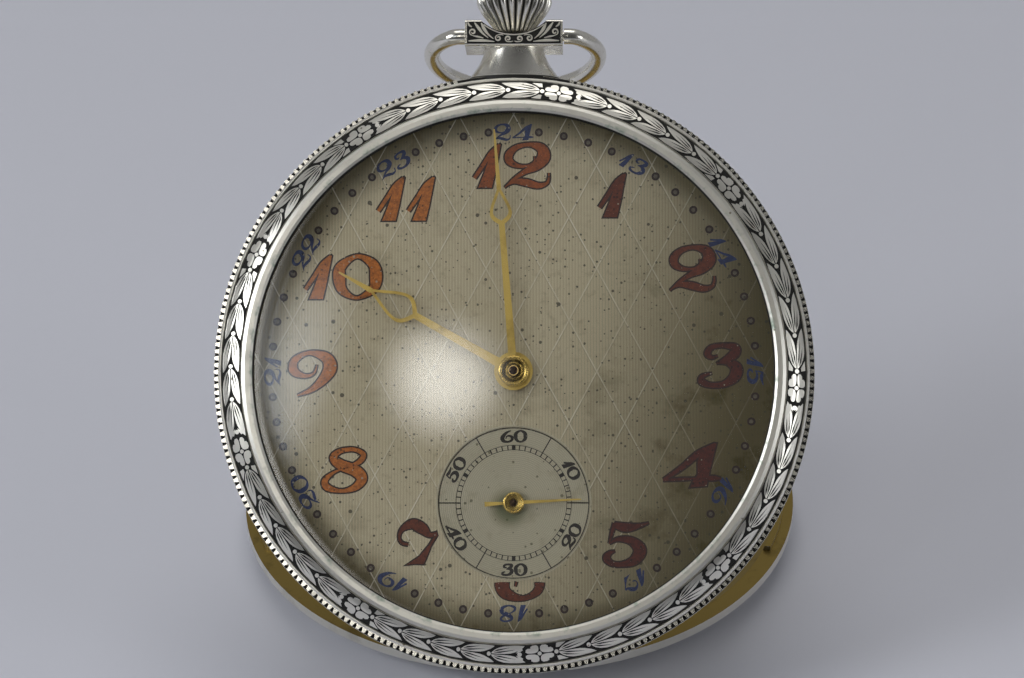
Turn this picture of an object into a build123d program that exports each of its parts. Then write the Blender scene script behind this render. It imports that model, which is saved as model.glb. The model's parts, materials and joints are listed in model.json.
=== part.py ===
from build123d import *

import os
from math import acos, atan2, cos, degrees, hypot, pi, radians, sin, sqrt

# An open-face pocket watch that leans back on its open back cover, as on an easel.
#
# Each piece is drawn in the watch's own frame: X to 3 o'clock, Y to 12 o'clock and Z out of the dial, with
# Z = 0 where the dial lies on the main plate. Two placements then carry the pieces to the part's frame, whose
# origin is the centre of the back cover's flat outside, with +Z up: the cover lies flat, the rest leans.

# ---------------------------------------------------------------- driving dimensions, mm and degrees

# Fits
RUNNING = 0.05           # radial gap of a pin or pipe that turns
GAP = 0.1                # gap between pieces that pass each other
PLAY = 0.1               # radial gap of pieces that are dropped in place

# Case middle, measured outwards from the movement that it holds
LEDGE_WIDTH = 0.5        # the movement's flange hangs on this
NECK_WALL = 1.3          # bezel seat, a thin wall that the bezel snaps over
CASE_SHOULDER = 1.25     # from that wall to the outside, under the bezel
CASE_BULGE = 0.5         # how far the flank swells past the outside
CASE_FRONT = 0.6         # Z of the face that the bezel sits on
CASE_BACK = -5.2         # Z of the face that the back cover meets
REED_COUNT = 270
REED_STAND = 0.05        # the foot of the reeds, outside the case's edge
REED_DEPTH = 0.35
REED_LOW = -0.35         # Z where the reeded band starts
REED_FOOT = 0.36         # half widths of a reed, as a share of the pitch
REED_CREST = 0.2
REED_GAP_HALF = 4.7      # half of the stretch at the pendant that has no reeds
NECK_TOP = 1.1           # Z of the bezel seat's end
BACK_BORE_STEP = 0.8     # wider bore behind the ledge that the case screws clamp
LIP_RECESS_DEPTH = 0.6   # for the back cover's snap lip
LIP_RECESS_WIDTH = 0.8
LIP_EDGE = 0.85          # wall outside that recess

# Bezel and crystal
BEZEL_EDGE_TOP = 1.3     # Z of the plain raised ring at the outside
BEZEL_EDGE_WIDTH = 0.32  # of that ring
BEZEL_BAND_WIDTH = 1.58  # of the engraved band inside it
BEZEL_BAND_DROP = 0.13   # from the ring round the glass down to the band's inner edge
BEZEL_BAND_SWELL = 0.09  # how far the band swells above a straight slope
BEZEL_GROOVE = 0.1       # half width and depth of the grooves that bound the band
BEZEL_CROWN = 2.25       # Z of the plain ring round the glass
BEZEL_CROWN_WIDTH = 0.85 # from the glass to that ring's outer edge
BEZEL_CHAMFER = 0.15     # at the glass and at the outside
DIAL_HIDDEN = 0.25       # how far the bezel covers the dial's edge
GLASS_REBATE = 0.4       # how far the crystal reaches under the bezel
GLASS_EDGE = 0.5         # thickness of the crystal at its rim
GLASS_SEAT = 1.42        # Z of the crystal's underside at its rim
GLASS_RISE = 2.3         # height of the dome above the rim
GLASS_WALL = 0.75        # thickness of the dome in the middle

# Back cover
COVER_DEPTH = 3.0        # from its rim to its flat outside
COVER_WALL = 0.6
COVER_RIM = 0.8          # height of the straight rim
COVER_RIM_WALL = 1.5
COVER_FLAT = 16.0        # radius of the flat middle that it stands on
COVER_LIP = 0.4          # height of the snap lip
COVER_KNEE_RISE = 0.3    # shares of the cover's rise and width at the two bends of its dish
COVER_BEND_RISE = 0.64
COVER_BEND_REACH = 0.62
COVER_SEAM = 0.05        # gap between the rims when it is shut
OPENING = 52.0           # degrees that the cover stands open

# Back hinge, at 6 o'clock
HINGE_INSET = 0.4        # from the cover's edge in to the pin
KNUCKLE_RADIUS = 0.6
KNUCKLE_LENGTH = 1.8
KNUCKLE_GAP = 0.08
KNUCKLE_COUNT = 5
HINGE_PIN_RADIUS = 0.28
HINGE_WEB = 0.5          # thickness of the leaf between a knuckle and its ring

# Pendant, bow and crown, at 12 o'clock
PENDANT_Z = -2.4         # height of the bow's pivots, the pendant's axis and the stem
NECK_STAND = 0.45        # from the case's edge to where the neck's flare begins
NECK_BASE_HALF = 3.85
NECK_WAIST_HALF = 2.5
NECK_BASE_DEPTH = 2.55   # half of the neck's size front to back at its base
NECK_WAIST_DEPTH = 2.2
NECK_LENGTH = 2.45       # from there to the head
NECK_SECTIONS = 7         # that the flare is drawn through
NECK_FLARE = 1.5          # how quickly it narrows above its base
HEAD_HEIGHT = 2.25
HEAD_ROUND = 0.3
HEAD_WIDTH = 8.2
HEAD_DEPTH = 5.0
SADDLE_DIP = 1.2
SADDLE_RADIUS = 4.0
SLEEVE_RADIUS = 1.35
SLEEVE_BORE = 0.8
BOW_PIVOT_DROP = 1.05    # from the head's top to the pivot
BOW_WIRE = 1.35          # diameter
BOW_WIDTH = 15.6         # outside
BOW_FIRST_BEND = 1.3
BOW_FIRST_TURN = 38.0
BOW_SHOULDER = 4.6       # radius of the long bend between the ear and the round end
BOW_PIN_RADIUS = 0.42
BOW_PIN_LENGTH = 0.7
BOW_FOLD = 105.0         # degrees from upright to its stop behind the neck
CROWN_RADIUS = 3.2
CROWN_WAIST = 1.6
CROWN_LIFT = 0.3         # gap over the saddle
CROWN_HEIGHT = 5.1
CROWN_WIDEST = 0.48       # share of its height where it is widest
CROWN_SWELL = 0.72        # share of its radius that it has at the two next levels
CROWN_LOW_SWELL = 0.13
CROWN_HIGH_SWELL = 0.86
CROWN_BUTTON = 0.28       # share of its radius at the flat top
CROWN_TANGENTS = ((0.5, 1.0), (-1.0, 0.05))   # where the onion heads at its waist and at its flat top
CROWN_FLUTES = 25
CROWN_FLUTE_RADIUS = 0.3

# Dial and hands
DIAL_THICKNESS = 0.4
DIAL_CENTRE_HOLE = 1.1
DIAL_SECONDS_HOLE = 0.4
SECONDS_DROP = 10.9      # from the watch's centre to the small seconds
SECONDS_RADIUS = 6.3
SECONDS_RECESS = 0.12
DIAL_FOOT_RADIUS = 0.4
DIAL_FOOT_LENGTH = 1.7
HAND_THICKNESS = 0.14
SECONDS_HAND_Z = 0.58
HOUR_HAND_Z = 0.85
MINUTE_HAND_Z = 1.2
MINUTE_HAND_SHORT = 1.35 # from the minute hand's tip to the bezel
MINUTE_NEEDLE = 4.6      # from the open loop to the tip
MINUTE_LOOP = 3.5        # length of the open loop
MINUTE_LOOP_HALF = 0.92
MINUTE_ARM_HALF = 0.34   # half width of the arm at the hub
MINUTE_NEEDLE_HALF = 0.15
HOUR_HAND_LENGTH = 16.7
HOUR_NEEDLE = 2.7
HOUR_LOOP = 4.8
HOUR_LOOP_HALF = 1.25
HOUR_ARM_HALF = 0.4
HOUR_NEEDLE_HALF = 0.17
LOOP_WIDEST = 0.3        # share of a loop's length at which it is widest
LOOP_LIFT = 0.3           # how far its curves' handles reach, as shares of its size
LOOP_BELLY = 0.45
LOOP_FOOT = 0.55
LOOP_POINT = 0.22
SECONDS_HAND_LENGTH = 5.6
SECONDS_HAND_TAIL = 2.4
SECONDS_ARM_HALF = 0.16
SECONDS_TIP_HALF = 0.06
SECONDS_TAIL_HALF = 0.2
HAND_LINE = 0.27         # width of the metal round a hand's open loop
HAND_ARM_END = 1.6       # half width of the arm at the loop, in half widths of the needle
HAND_HOLE_LOW = 1.6      # metal below and above the loop's hole, in widths of its line
HAND_HOLE_HIGH = 2.2
HAND_POINT_START = 1.5   # how far the needle reaches down into the loop, in widths of its line
HAND_POINT_ROOT = 1.3    # half widths of the needle at its root and its tip, as shares of its own
HAND_POINT_TIP = 0.4
SHOWN_HOUR = 9.0
SHOWN_MINUTE = 59.24
SHOWN_SECOND = 14.5

# Movement: the plate's outline
MOVEMENT_RADIUS = 21.4
BRIDGE_INSET = 0.4       # from the plate's edge to the bridges' edge
FOOT_WIDTH = 3.1         # rim of the plate on which the bridges stand
EDGE_SCREW_INSET = 1.8   # from the plate's edge to the screws and the dial's feet

# Movement: heights
PLATE_BACK = -2.4
PLATE_FLANGE = 0.8       # thickness of the flange that hangs in the case
BRIDGE_UNDER = -4.0
BRIDGE_THICKNESS = 0.8
COCK_UNDER = -4.9
COCK_THICKNESS = 0.7
SEAM = 0.3               # gap between neighbouring bridges
DIAL_SIDE_RECESS = 0.95  # depth of the pocket for the motion work
HOUR_WHEEL_Z = -0.35
MINUTE_WHEEL_Z = -0.85   # and of the setting wheel
BARREL_FLOOR = -1.5      # Z of the drum's closed side, sunk in the plate
BARREL_TOP = -3.4        # Z of its cover
BARREL_TEETH_LOW = -2.95
BARREL_TEETH_HIGH = -2.5
CENTRE_LOW = -3.8        # Z of each wheel's back face
THIRD_LOW = -2.7
FOURTH_LOW = -3.5
FORK_LOW = -2.97         # escape wheel and pallet fork
PALLET_BRIDGE_UNDER = -3.02
PALLET_BRIDGE_TOP = -3.3
PIVOT_END = -1.9         # Z of the plate's blind pivot holes
WINDING_UNDER = -4.85    # ratchet wheel and crown wheel
WINDING_TOP = -5.35
HAIRSPRING_TOP = -4.2
HAIRSPRING_LOW = -4.45
ROLLER_TOP = -3.3
ROLLER_THICKNESS = 0.2
REGULATOR_TOP = -5.8

# Wheels: teeth and modules
TRAIN_BARREL_TEETH = 80
TRAIN_BARREL_MODULE = 0.2
CENTRE_PINION_TEETH = 10
CENTRE_TEETH = 80
CENTRE_MODULE = 0.15
THIRD_PINION_TEETH = 10
THIRD_TEETH = 75
THIRD_MODULE = 0.13
FOURTH_PINION_TEETH = 10
FOURTH_TEETH = 80
FOURTH_MODULE = 0.11
ESCAPE_PINION_TEETH = 8
ESCAPE_TEETH = 15
ESCAPE_RADIUS = 2.9
WINDING_MODULE = 0.22
CROWN_WHEEL_TEETH = 36
RATCHET_TEETH = 54
CANNON_TEETH = 12
MINUTE_TEETH = 36
CANNON_MODULE = 0.18
MINUTE_PINION_TEETH = 10
HOUR_TEETH = 40
SETTING_TEETH = 20
WINDING_PINION_TEETH = 18
WINDING_NOTCH = 0.4
CLUTCH_TEETH = 14
TOOTH_ABOVE = 0.9        # modules outside the pitch circle
TOOTH_BELOW = 1.25       # modules inside it
TOOTH_TIP = 0.13         # half widths, as a share of the pitch
TOOTH_ROOT = 0.31
WHEEL_THICKNESS = 0.2
THIRD_ARBOR = 0.4
FOURTH_ARBOR = 0.35
ESCAPE_ARBOR = 0.3
BALANCE_ARM_ANGLE = 35.0
BALANCE_ARM_SHARE = 1.4   # its arms' width, in widths of a wheel's spoke
BALANCE_ARM_SUNK = 0.3    # share of its height that its arms keep clear, above and below
BALANCE_HUB = 1.1
BALANCE_SCREW_SHARE = 0.42
WHEEL_HUB = 1.0
CENTRE_HUB = 1.3
THIRD_HUB = 1.1
ESCAPE_HUB = 0.75
WHEEL_SPOKES = 4
SLOW_WHEEL_SPOKES = 5    # of the centre and the third wheel
THIRD_SPOKE_TURN = 20.0  # degrees that its spokes are turned
FOURTH_SPOKE_TURN = 10.0
ESCAPE_SPOKE_TURN = 30.0
HOUR_RIM_SHARE = 0.78    # insides of rims, as shares of the pitch circle or the wheel's radius
CENTRE_RIM_SHARE = 0.85
ESCAPE_RIM_SHARE = 0.66
CENTRE_ARBOR_SHARE = 1.4  # radius of its arbor behind the plate, in radii of its post
CLUB_TOOTH = ((0.76, 0.0), (0.9, 0.28), (1.0, 0.36), (1.0, 0.5), (0.76, 0.55))   # shares of radius, of pitch
WHEEL_RIM_SHARE = 0.83    # inside of a wheel's rim, as a share of its pitch circle
SPOKE_WIDTH = 0.55

# Movement: sizes
CANNON_PIPE = 0.65
CENTRE_POST = 0.42
CENTRE_PIVOT = 0.35
HOUR_PIPE = 0.95
MINUTE_HUB = 1.3
MINUTE_BOSS_SHARE = 0.75  # radius of the boss under it, as a share of its hub
HOUR_HUB = 1.6
SECONDS_HUB = 0.88
SECONDS_PIPE = 0.2
POST_RADIUS = 0.3
NOTCH_WIDTH = 0.3
LEVER_WIDTH = 1.1
LEVER_DEPTH = 0.35       # below the dial
SPRING_WIDTH = 0.3
DIAL_FOOT_BEARING = 55.0
DIAL_SCREW_RADIUS = 0.35
DIAL_SCREW_Z = -1.2
HOUR_WHEEL_POCKET = 4.2
MINUTE_WHEEL_POCKET = 3.7
SETTING_WHEEL_POCKET = 2.3
LEVER_POCKET_X = (-8.0, 6.5)
LEVER_POCKET_Y = (9.3, 18.2)
PIN_SLOT_HALF = 0.6
SETTING_LEVER_REACH = 3.8
SETTING_LEVER_DROP = 0.25
YOKE_REACH = 4.5
YOKE_RISE = 0.9
YOKE_PLACE = 1.8         # from the clutch's inner end to the yoke's groove
YOKE_ARM_SHARE = 0.6     # width of its arm and radius of its eye, in widths of a lever
YOKE_EYE_SHARE = 0.8
CLUTCH_SPRING_BENDS = ((-1.7, 2.4), (-2.6, 0.6), (-2.6, -2.2), (-1.2, -3.3))   # from the yoke's post
YOKE_GROOVE = 0.5
BARREL_STEP = 0.15        # from the roots of the barrel's teeth in to its drum
BARREL_WALL = 0.45
BARREL_COVER = 0.25
BARREL_CORE = 2.2
BARREL_PIVOT = 0.6
BARREL_PIVOT_END = -0.7
BARREL_POST = 0.9
BARREL_SQUARE = 1.2
BARREL_ROOM = 0.32        # round the barrel's teeth, in the plate
BARREL_BRIDGE_LOBE = 6.8
CROWN_WHEEL_CORE = 1.3
CROWN_SCREW_LIP = 0.8     # how far its screw's head overhangs the core
CLICK_HUB = 1.0
CLICK_SCREW_SHARE = 0.7   # screw heads and feet, as shares of the click's hub
SPRING_FOOT_SHARE = 0.6
CLICK_REACH = 7.6
CLICK_BEARING = 62.0
CLICK_SPRING_BEARING = 12.0
CLICK_NOSE_BEARING = 45.0
CLICK_NOSE_SHARE = 0.5   # width of its nose, as a share of its hub
CLICK_SPRING_KNEE = (-0.3, 2.6)   # from the foot of its spring
CLICK_SPRING_END = (-1.0, 5.0)
CASE_SCREW_HEAD = 1.3
CASE_SCREW_BEARINGS = (205.0, 330.0)
BARREL_BRIDGE_SCREW_BEARINGS = (28.0, 72.0, 112.0, 163.0)
TRAIN_BRIDGE_SCREW_BEARINGS = (258.0, 300.0, 350.0)
SLOT_STEP = 37.0          # degrees from one screw's slot to the next one's
COCK_SCREW_SLOT = 20.0
PALLET_SCREW_SLOT = 70.0
RATCHET_SCREW_SLOT = 15.0
CROWN_SCREW_SLOT = 75.0
CLICK_SCREW_SLOT = 130.0
SPRING_SCREW_SLOT = 40.0
SCREW_LENGTH_IN_PLATE = 1.0
SMALL_SCREW_HEAD = 0.65
SMALL_SCREW_SHANK = 0.3
SMALL_SCREW_SINK = 0.2
BRIDGE_SPLIT = 1.65
TRAIN_BRIDGE_EDGE = -6.6
PALLET_BRIDGE_WIDTH = 1.6
PALLET_FOOT_SHARE = 0.7   # radius of its foot, as a share of its width
PALLET_FOOT_REACH = 3.4
PALLET_CLEARANCE = 0.17
PALLET_SPREAD = 30.0     # degrees from the fork's axis to each stone, seen from the escape wheel
STONE_LENGTH_SHARE = 0.18   # of the escape wheel's radius
STONE_WIDTH = 0.3
STONE_GRIP = 0.8         # share of the stone that the fork's arm holds
PALLET_ARM_WIDTH = 0.42
FORK_HUB = 0.5
FORK_ARBOR = 0.25
FORK_LEVER_WIDTH = 0.4
FORK_LEVER_SHORT = 0.5   # how far the lever stops short of the horns' tips
FORK_HORN_LENGTH = 0.65
FORK_HORN_HALF = 0.55    # half of the width over both horns
FORK_NOTCH_DEPTH = 0.4
FORK_NOTCH_HALF = 0.3
COCK_FOOT = (-18.5, -0.95)
COCK_FOOT_RADIUS = 2.2
COCK_HEAD_RADIUS = 2.4
COCK_WIDTH = 3.2
STUD_RADIUS = 0.25
STUD_REACH = 4.1
STAFF_RADIUS = 0.3
ROLLER_RADIUS = 1.1
ROLLER_JEWEL = 0.12
ROLLER_JEWEL_REACH = 0.9
REGULATOR_BORE = 0.9
REGULATOR_TAIL = 5.2
REGULATOR_BEARING = 60.0
REGULATOR_RING = 0.6     # width of its ring round the bore
REGULATOR_TAIL_WIDTH = 0.5
REGULATOR_TIP = 0.4      # radius of the tail's end
BALANCE_SCREW_LENGTH = 0.3

# Movement: places
BARREL_BEARING = 25.0    # degrees from 3 o'clock, seen from the dial
BALANCE_X = -11.3
BALANCE_Y = -7.6
MINUTE_WHEEL_BEARING = 110.0
SETTING_WHEEL_LEAN = 12.0
ESCAPE_BEARING = 200.0   # from the fourth wheel
STEM_RADIUS = 0.5
STEM_SQUARE = 0.6
STEM_END = 0.3           # from the clutch's inner end to the stem's tip
GROOVE_PLACE = 1.2       # from the winding pinion to the setting lever's groove
GROOVE_WIDTH = 1.5
GROOVE_RADIUS = 0.32
WINDING_PINION_Y = 12.7
WINDING_PINION_LENGTH = 1.4
WINDING_PINION_RADIUS = 2.35
CLUTCH_PLAY = 0.3        # between the clutch and the winding pinion
CLUTCH_LENGTH = 2.2
CLUTCH_RADIUS = 1.5
CLUTCH_TOOTH_WIDTH = 0.4  # inwards from its outside, and along the stem
CLUTCH_TOOTH_DEPTH = 0.35
CLUTCH_NECK = 1.0
CLUTCH_TRAVEL = 0.7
CROWN_TRAVEL = 1.0
WINDOW_HALF = 2.6        # opening in plate and bridge for the winding pinion
BALANCE_RADIUS = 6.7
BALANCE_RIM = 0.7
BALANCE_TOP = -3.5
BALANCE_HEIGHT = 0.5
BALANCE_SCREW_COUNT = 14
HAIRSPRING_INNER = 0.75
HAIRSPRING_OUTER = 3.6
HAIRSPRING_TURNS = 6
HAIRSPRING_BLADE = 0.07
MAINSPRING_TURNS = 8
MAINSPRING_BLADE = 0.2
PIVOT_RADIUS = 0.15
JEWEL_RADIUS = 0.65
JEWEL_THICKNESS = 0.35
SCREW_HEAD = 0.95
SCREW_HEAD_HEIGHT = 0.4
SCREW_SHANK = 0.45
SCREW_SLOT = 0.25

# ---------------------------------------------------------------- helpers

pieces = {}


def leaning(name, shape):
    """Keep a piece of the case or the movement, which leans back."""
    pieces[name] = (shape, lean)


def lying(name, shape):
    """Keep a piece of the cover, which lies flat."""
    pieces[name] = (shape, lay_flat)


def rod(radius, low, high, x=0.0, y=0.0):
    """A round bar along Z."""
    return Pos(x, y, low) * Cylinder(radius, high - low, align=(Align.CENTER, Align.CENTER, Align.MIN))


def tube(outer, inner, low, high, x=0.0, y=0.0):
    """A round pipe along Z."""
    return rod(outer, low, high, x, y) - rod(inner, low, high, x, y)


def rod_y(radius, low, high, z):
    """A round bar along Y, over the centre line."""
    bar = Cylinder(radius, high - low, align=(Align.CENTER, Align.CENTER, Align.MIN))
    return Pos(0, low, z) * Rot(-90, 0, 0) * bar


def rod_x(radius, low, high, y, z):
    """A round bar along X."""
    bar = Cylinder(radius, high - low, align=(Align.CENTER, Align.CENTER, Align.MIN))
    return Pos(low, y, z) * Rot(0, 90, 0) * bar


def block(x_range, y_range, z_range):
    """A box between pairs of coordinates."""
    size = [high - low for low, high in (x_range, y_range, z_range)]
    corner = [low for low, high in (x_range, y_range, z_range)]
    return Pos(*corner) * Box(*size, align=(Align.MIN, Align.MIN, Align.MIN))


def turned_profile(points):
    """A ring or bowl: an outline of (radius, z) points, turned round Z."""
    outline = make_face(Polyline(*[(radius, 0, z) for radius, z in points], close=True))
    return revolve(outline, Axis.Z)


def slab(face, low, high):
    """A flat outline, drawn at Z = 0, with thickness between two heights."""
    return Pos(0, 0, low) * extrude(face, high - low, dir=(0, 0, 1))


def bearing(radius, angle, x=0.0, y=0.0):
    """The point at a distance and an angle from a centre."""
    return x + radius * cos(radians(angle)), y + radius * sin(radians(angle))


def tooth_face(teeth, module, turned=0.0):
    """The outline of a toothed wheel, with the middle of one tooth at the angle `turned`."""
    root = module * (teeth / 2 - TOOTH_BELOW)
    tip = module * (teeth / 2 + TOOTH_ABOVE)
    points = []
    for tooth in range(teeth):
        for radius, share in ((root, -TOOTH_ROOT), (tip, -TOOTH_TIP), (tip, TOOTH_TIP), (root, TOOTH_ROOT)):
            points.append(bearing(radius, turned + (tooth + share) * 360 / teeth))
    return make_face(Polyline(*points, close=True))


def in_mesh(driver_teeth, driver_turned, teeth, direction):
    """How far a wheel is turned so that its gap meets the driver's tooth, in the given direction."""
    return direction + 180 + (direction - driver_turned) * driver_teeth / teeth + 180 / teeth


def spoked(face, hub, rim, spokes=WHEEL_SPOKES, turned=0.0):
    """A wheel's outline with windows between its spokes."""
    windows = Circle(rim) - Circle(hub)
    for spoke in range(spokes):
        windows -= Rot(0, 0, turned + spoke * 360 / spokes) * Pos(rim / 2, 0) * Rectangle(rim, SPOKE_WIDTH)
    return face - windows


def blade_spiral(inner, outer, turns, blade, low, high, steps=20):
    """A flat spring: a blade wound as a spiral, standing between two heights."""
    inside, outside = [], []
    count = turns * steps
    for step in range(count + 1):
        radius = inner + (outer - inner) * step / count
        inside.append(bearing(radius - blade / 2, 360 * step / steps))
        outside.append(bearing(radius + blade / 2, 360 * step / steps))
    return slab(make_face(Polyline(*inside, *reversed(outside), close=True)), low, high)


def slotted_head(radius, low, high, x, y, turned):
    """A flat screw head with a straight slot in its far side."""
    slot = Pos(x, y, low + SCREW_SLOT / 2) * Rot(0, 0, turned) * Box(3 * radius, SCREW_SLOT, SCREW_SLOT)
    return rod(radius, low, high, x, y) - slot


# ---------------------------------------------------------------- worked out from the sizes

BORE_RADIUS = MOVEMENT_RADIUS + PLAY
NECK_INNER = BORE_RADIUS + LEDGE_WIDTH
NECK_OUTER = NECK_INNER + NECK_WALL
CASE_RADIUS = NECK_OUTER + CASE_SHOULDER
BACK_BORE_RADIUS = BORE_RADIUS + BACK_BORE_STEP
LIP_OUTER = CASE_RADIUS - LIP_EDGE
LIP_INNER = LIP_OUTER - LIP_RECESS_WIDTH
REED_ROOT = CASE_RADIUS + REED_STAND
PLATE_FLANGE_RADIUS = NECK_INNER - PLAY
DIAL_RADIUS = NECK_INNER - 2 * PLAY
GLASS_OPENING = DIAL_RADIUS - DIAL_HIDDEN
COVER_RADIUS = CASE_RADIUS - COVER_SEAM
HINGE_OFFSET = COVER_RADIUS - HINGE_INSET
PENDANT_BASE = CASE_RADIUS + NECK_STAND
HEAD_BOTTOM = PENDANT_BASE + NECK_LENGTH
BRIDGE_RADIUS = MOVEMENT_RADIUS - BRIDGE_INSET
FOOT_INNER = MOVEMENT_RADIUS - FOOT_WIDTH
SCREW_CIRCLE = MOVEMENT_RADIUS - EDGE_SCREW_INSET
DIAL_FOOT_CIRCLE = SCREW_CIRCLE
MINUTE_HAND_LENGTH = GLASS_OPENING - MINUTE_HAND_SHORT

HINGE_Z = CASE_BACK - COVER_SEAM / 2
COVER_BOTTOM = CASE_BACK - COVER_SEAM - COVER_DEPTH
PENDANT_TOP = HEAD_BOTTOM + HEAD_HEIGHT
BOW_PIVOT_Y = PENDANT_TOP - BOW_PIVOT_DROP
SADDLE_Y = PENDANT_TOP - SADDLE_DIP
CROWN_BASE = SADDLE_Y + CROWN_LIFT
BRIDGE_TOP = BRIDGE_UNDER - BRIDGE_THICKNESS
COCK_TOP = COCK_UNDER - COCK_THICKNESS
PINION_END = WINDING_PINION_Y + WINDING_PINION_LENGTH
GROOVE_Y = PINION_END + GROOVE_PLACE
SETTING_LEVER_POST = (SETTING_LEVER_REACH, GROOVE_Y + GROOVE_WIDTH / 2 - SETTING_LEVER_DROP)
CLUTCH_Y = WINDING_PINION_Y - CLUTCH_PLAY - CLUTCH_LENGTH
STEM_TIP = CLUTCH_Y - STEM_END
YOKE_Y = CLUTCH_Y + YOKE_PLACE
YOKE_POST = (-YOKE_REACH, YOKE_Y + YOKE_RISE)

MINUTE_ANGLE = 90 - 6 * SHOWN_MINUTE
HOUR_ANGLE = 90 - 30 * (SHOWN_HOUR + SHOWN_MINUTE / 60)
SECOND_ANGLE = 90 - 6 * SHOWN_SECOND

BARREL_RADIUS = TRAIN_BARREL_MODULE * (TRAIN_BARREL_TEETH / 2 - TOOTH_BELOW) - BARREL_STEP
BARREL_POCKET = TRAIN_BARREL_MODULE * (TRAIN_BARREL_TEETH / 2 + TOOTH_ABOVE) + BARREL_ROOM
barrel_reach = TRAIN_BARREL_MODULE * (TRAIN_BARREL_TEETH + CENTRE_PINION_TEETH) / 2
BARREL = bearing(barrel_reach, BARREL_BEARING)
FOURTH = (0.0, -SECONDS_DROP)
third_reach = CENTRE_MODULE * (CENTRE_TEETH + THIRD_PINION_TEETH) / 2
third_to_fourth = THIRD_MODULE * (THIRD_TEETH + FOURTH_PINION_TEETH) / 2
third_lean = degrees(acos((third_reach ** 2 + SECONDS_DROP ** 2 - third_to_fourth ** 2)
                          / (2 * third_reach * SECONDS_DROP)))
THIRD = bearing(third_reach, -90 - third_lean)
escape_reach = FOURTH_MODULE * (FOURTH_TEETH + ESCAPE_PINION_TEETH) / 2
ESCAPE = bearing(escape_reach, ESCAPE_BEARING, *FOURTH)
BALANCE = (BALANCE_X, BALANCE_Y)
escapement_bearing = degrees(atan2(BALANCE[1] - ESCAPE[1], BALANCE[0] - ESCAPE[0]))
pallet_reach = ESCAPE_RADIUS / cos(radians(PALLET_SPREAD))
PALLET = bearing(pallet_reach, escapement_bearing, *ESCAPE)
PALLET_FOOT = bearing(PALLET_FOOT_REACH, escapement_bearing + 90, *PALLET)
fork_length = hypot(BALANCE[0] - PALLET[0], BALANCE[1] - PALLET[1]) - ROLLER_JEWEL_REACH - ROLLER_JEWEL - PLAY
cock_bearing = degrees(atan2(COCK_FOOT[1] - BALANCE[1], COCK_FOOT[0] - BALANCE[0]))
STUD = bearing(STUD_REACH, cock_bearing, *BALANCE)
CLICK = bearing(CLICK_REACH, CLICK_BEARING, *BARREL)
CLICK_SPRING_FOOT = bearing(CLICK_REACH, CLICK_SPRING_BEARING, *BARREL)
winding_reach = WINDING_MODULE * (CROWN_WHEEL_TEETH + RATCHET_TEETH) / 2
CROWN_WHEEL = (0.0, BARREL[1] + sqrt(winding_reach ** 2 - BARREL[0] ** 2))
minute_reach = CANNON_MODULE * (CANNON_TEETH + MINUTE_TEETH) / 2
HOUR_MODULE = 2 * minute_reach / (MINUTE_PINION_TEETH + HOUR_TEETH)
MINUTE_WHEEL = bearing(minute_reach, MINUTE_WHEEL_BEARING)
setting_reach = CANNON_MODULE * (MINUTE_TEETH + SETTING_TEETH) / 2
SETTING_WHEEL = bearing(setting_reach, 90 - SETTING_WHEEL_LEAN, *MINUTE_WHEEL)

# Angles at which each wheel stands in mesh
CENTRE_TURNED = 0.0
BARREL_TURNED = in_mesh(CENTRE_PINION_TEETH, CENTRE_TURNED, TRAIN_BARREL_TEETH, BARREL_BEARING)
third_bearing = degrees(atan2(THIRD[1], THIRD[0]))
THIRD_TURNED = in_mesh(CENTRE_TEETH, CENTRE_TURNED, THIRD_PINION_TEETH, third_bearing)
fourth_bearing = degrees(atan2(FOURTH[1] - THIRD[1], FOURTH[0] - THIRD[0]))
FOURTH_TURNED = in_mesh(THIRD_TEETH, THIRD_TURNED, FOURTH_PINION_TEETH, fourth_bearing)
ESCAPE_TURNED = in_mesh(FOURTH_TEETH, FOURTH_TURNED, ESCAPE_PINION_TEETH, ESCAPE_BEARING)
MINUTE_WHEEL_TURNED = in_mesh(CANNON_TEETH, CENTRE_TURNED, MINUTE_TEETH, MINUTE_WHEEL_BEARING)
HOUR_TURNED = in_mesh(MINUTE_PINION_TEETH, MINUTE_WHEEL_TURNED, HOUR_TEETH, MINUTE_WHEEL_BEARING + 180)
SETTING_TURNED = in_mesh(MINUTE_TEETH, MINUTE_WHEEL_TURNED, SETTING_TEETH, 90 - SETTING_WHEEL_LEAN)
ratchet_bearing = degrees(atan2(BARREL[1] - CROWN_WHEEL[1], BARREL[0] - CROWN_WHEEL[0]))
RATCHET_TURNED = in_mesh(CROWN_WHEEL_TEETH, 0.0, RATCHET_TEETH, ratchet_bearing)

# Placements
lay_flat = Location((0, 0, -COVER_BOTTOM))
lean = (Location((0, 0, -COVER_BOTTOM)) * Location((0, -HINGE_OFFSET, HINGE_Z)) * Rotation(OPENING, 0, 0)
        * Location((0, HINGE_OFFSET, -HINGE_Z)))


# ---------------------------------------------------------------- case

def flank_points():
    """The outside of the case middle, from front to back, as (radius, z) points."""
    flank = CASE_RADIUS + CASE_BULGE
    middle = (CASE_FRONT + CASE_BACK) / 2
    return [(CASE_RADIUS, CASE_FRONT), (CASE_RADIUS, REED_LOW), (flank - GAP, REED_LOW),
            (flank, REED_LOW - GAP), (flank, middle), (flank - CASE_BULGE / 3, (middle + CASE_BACK) / 2),
            (CASE_RADIUS, CASE_BACK)]


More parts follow.
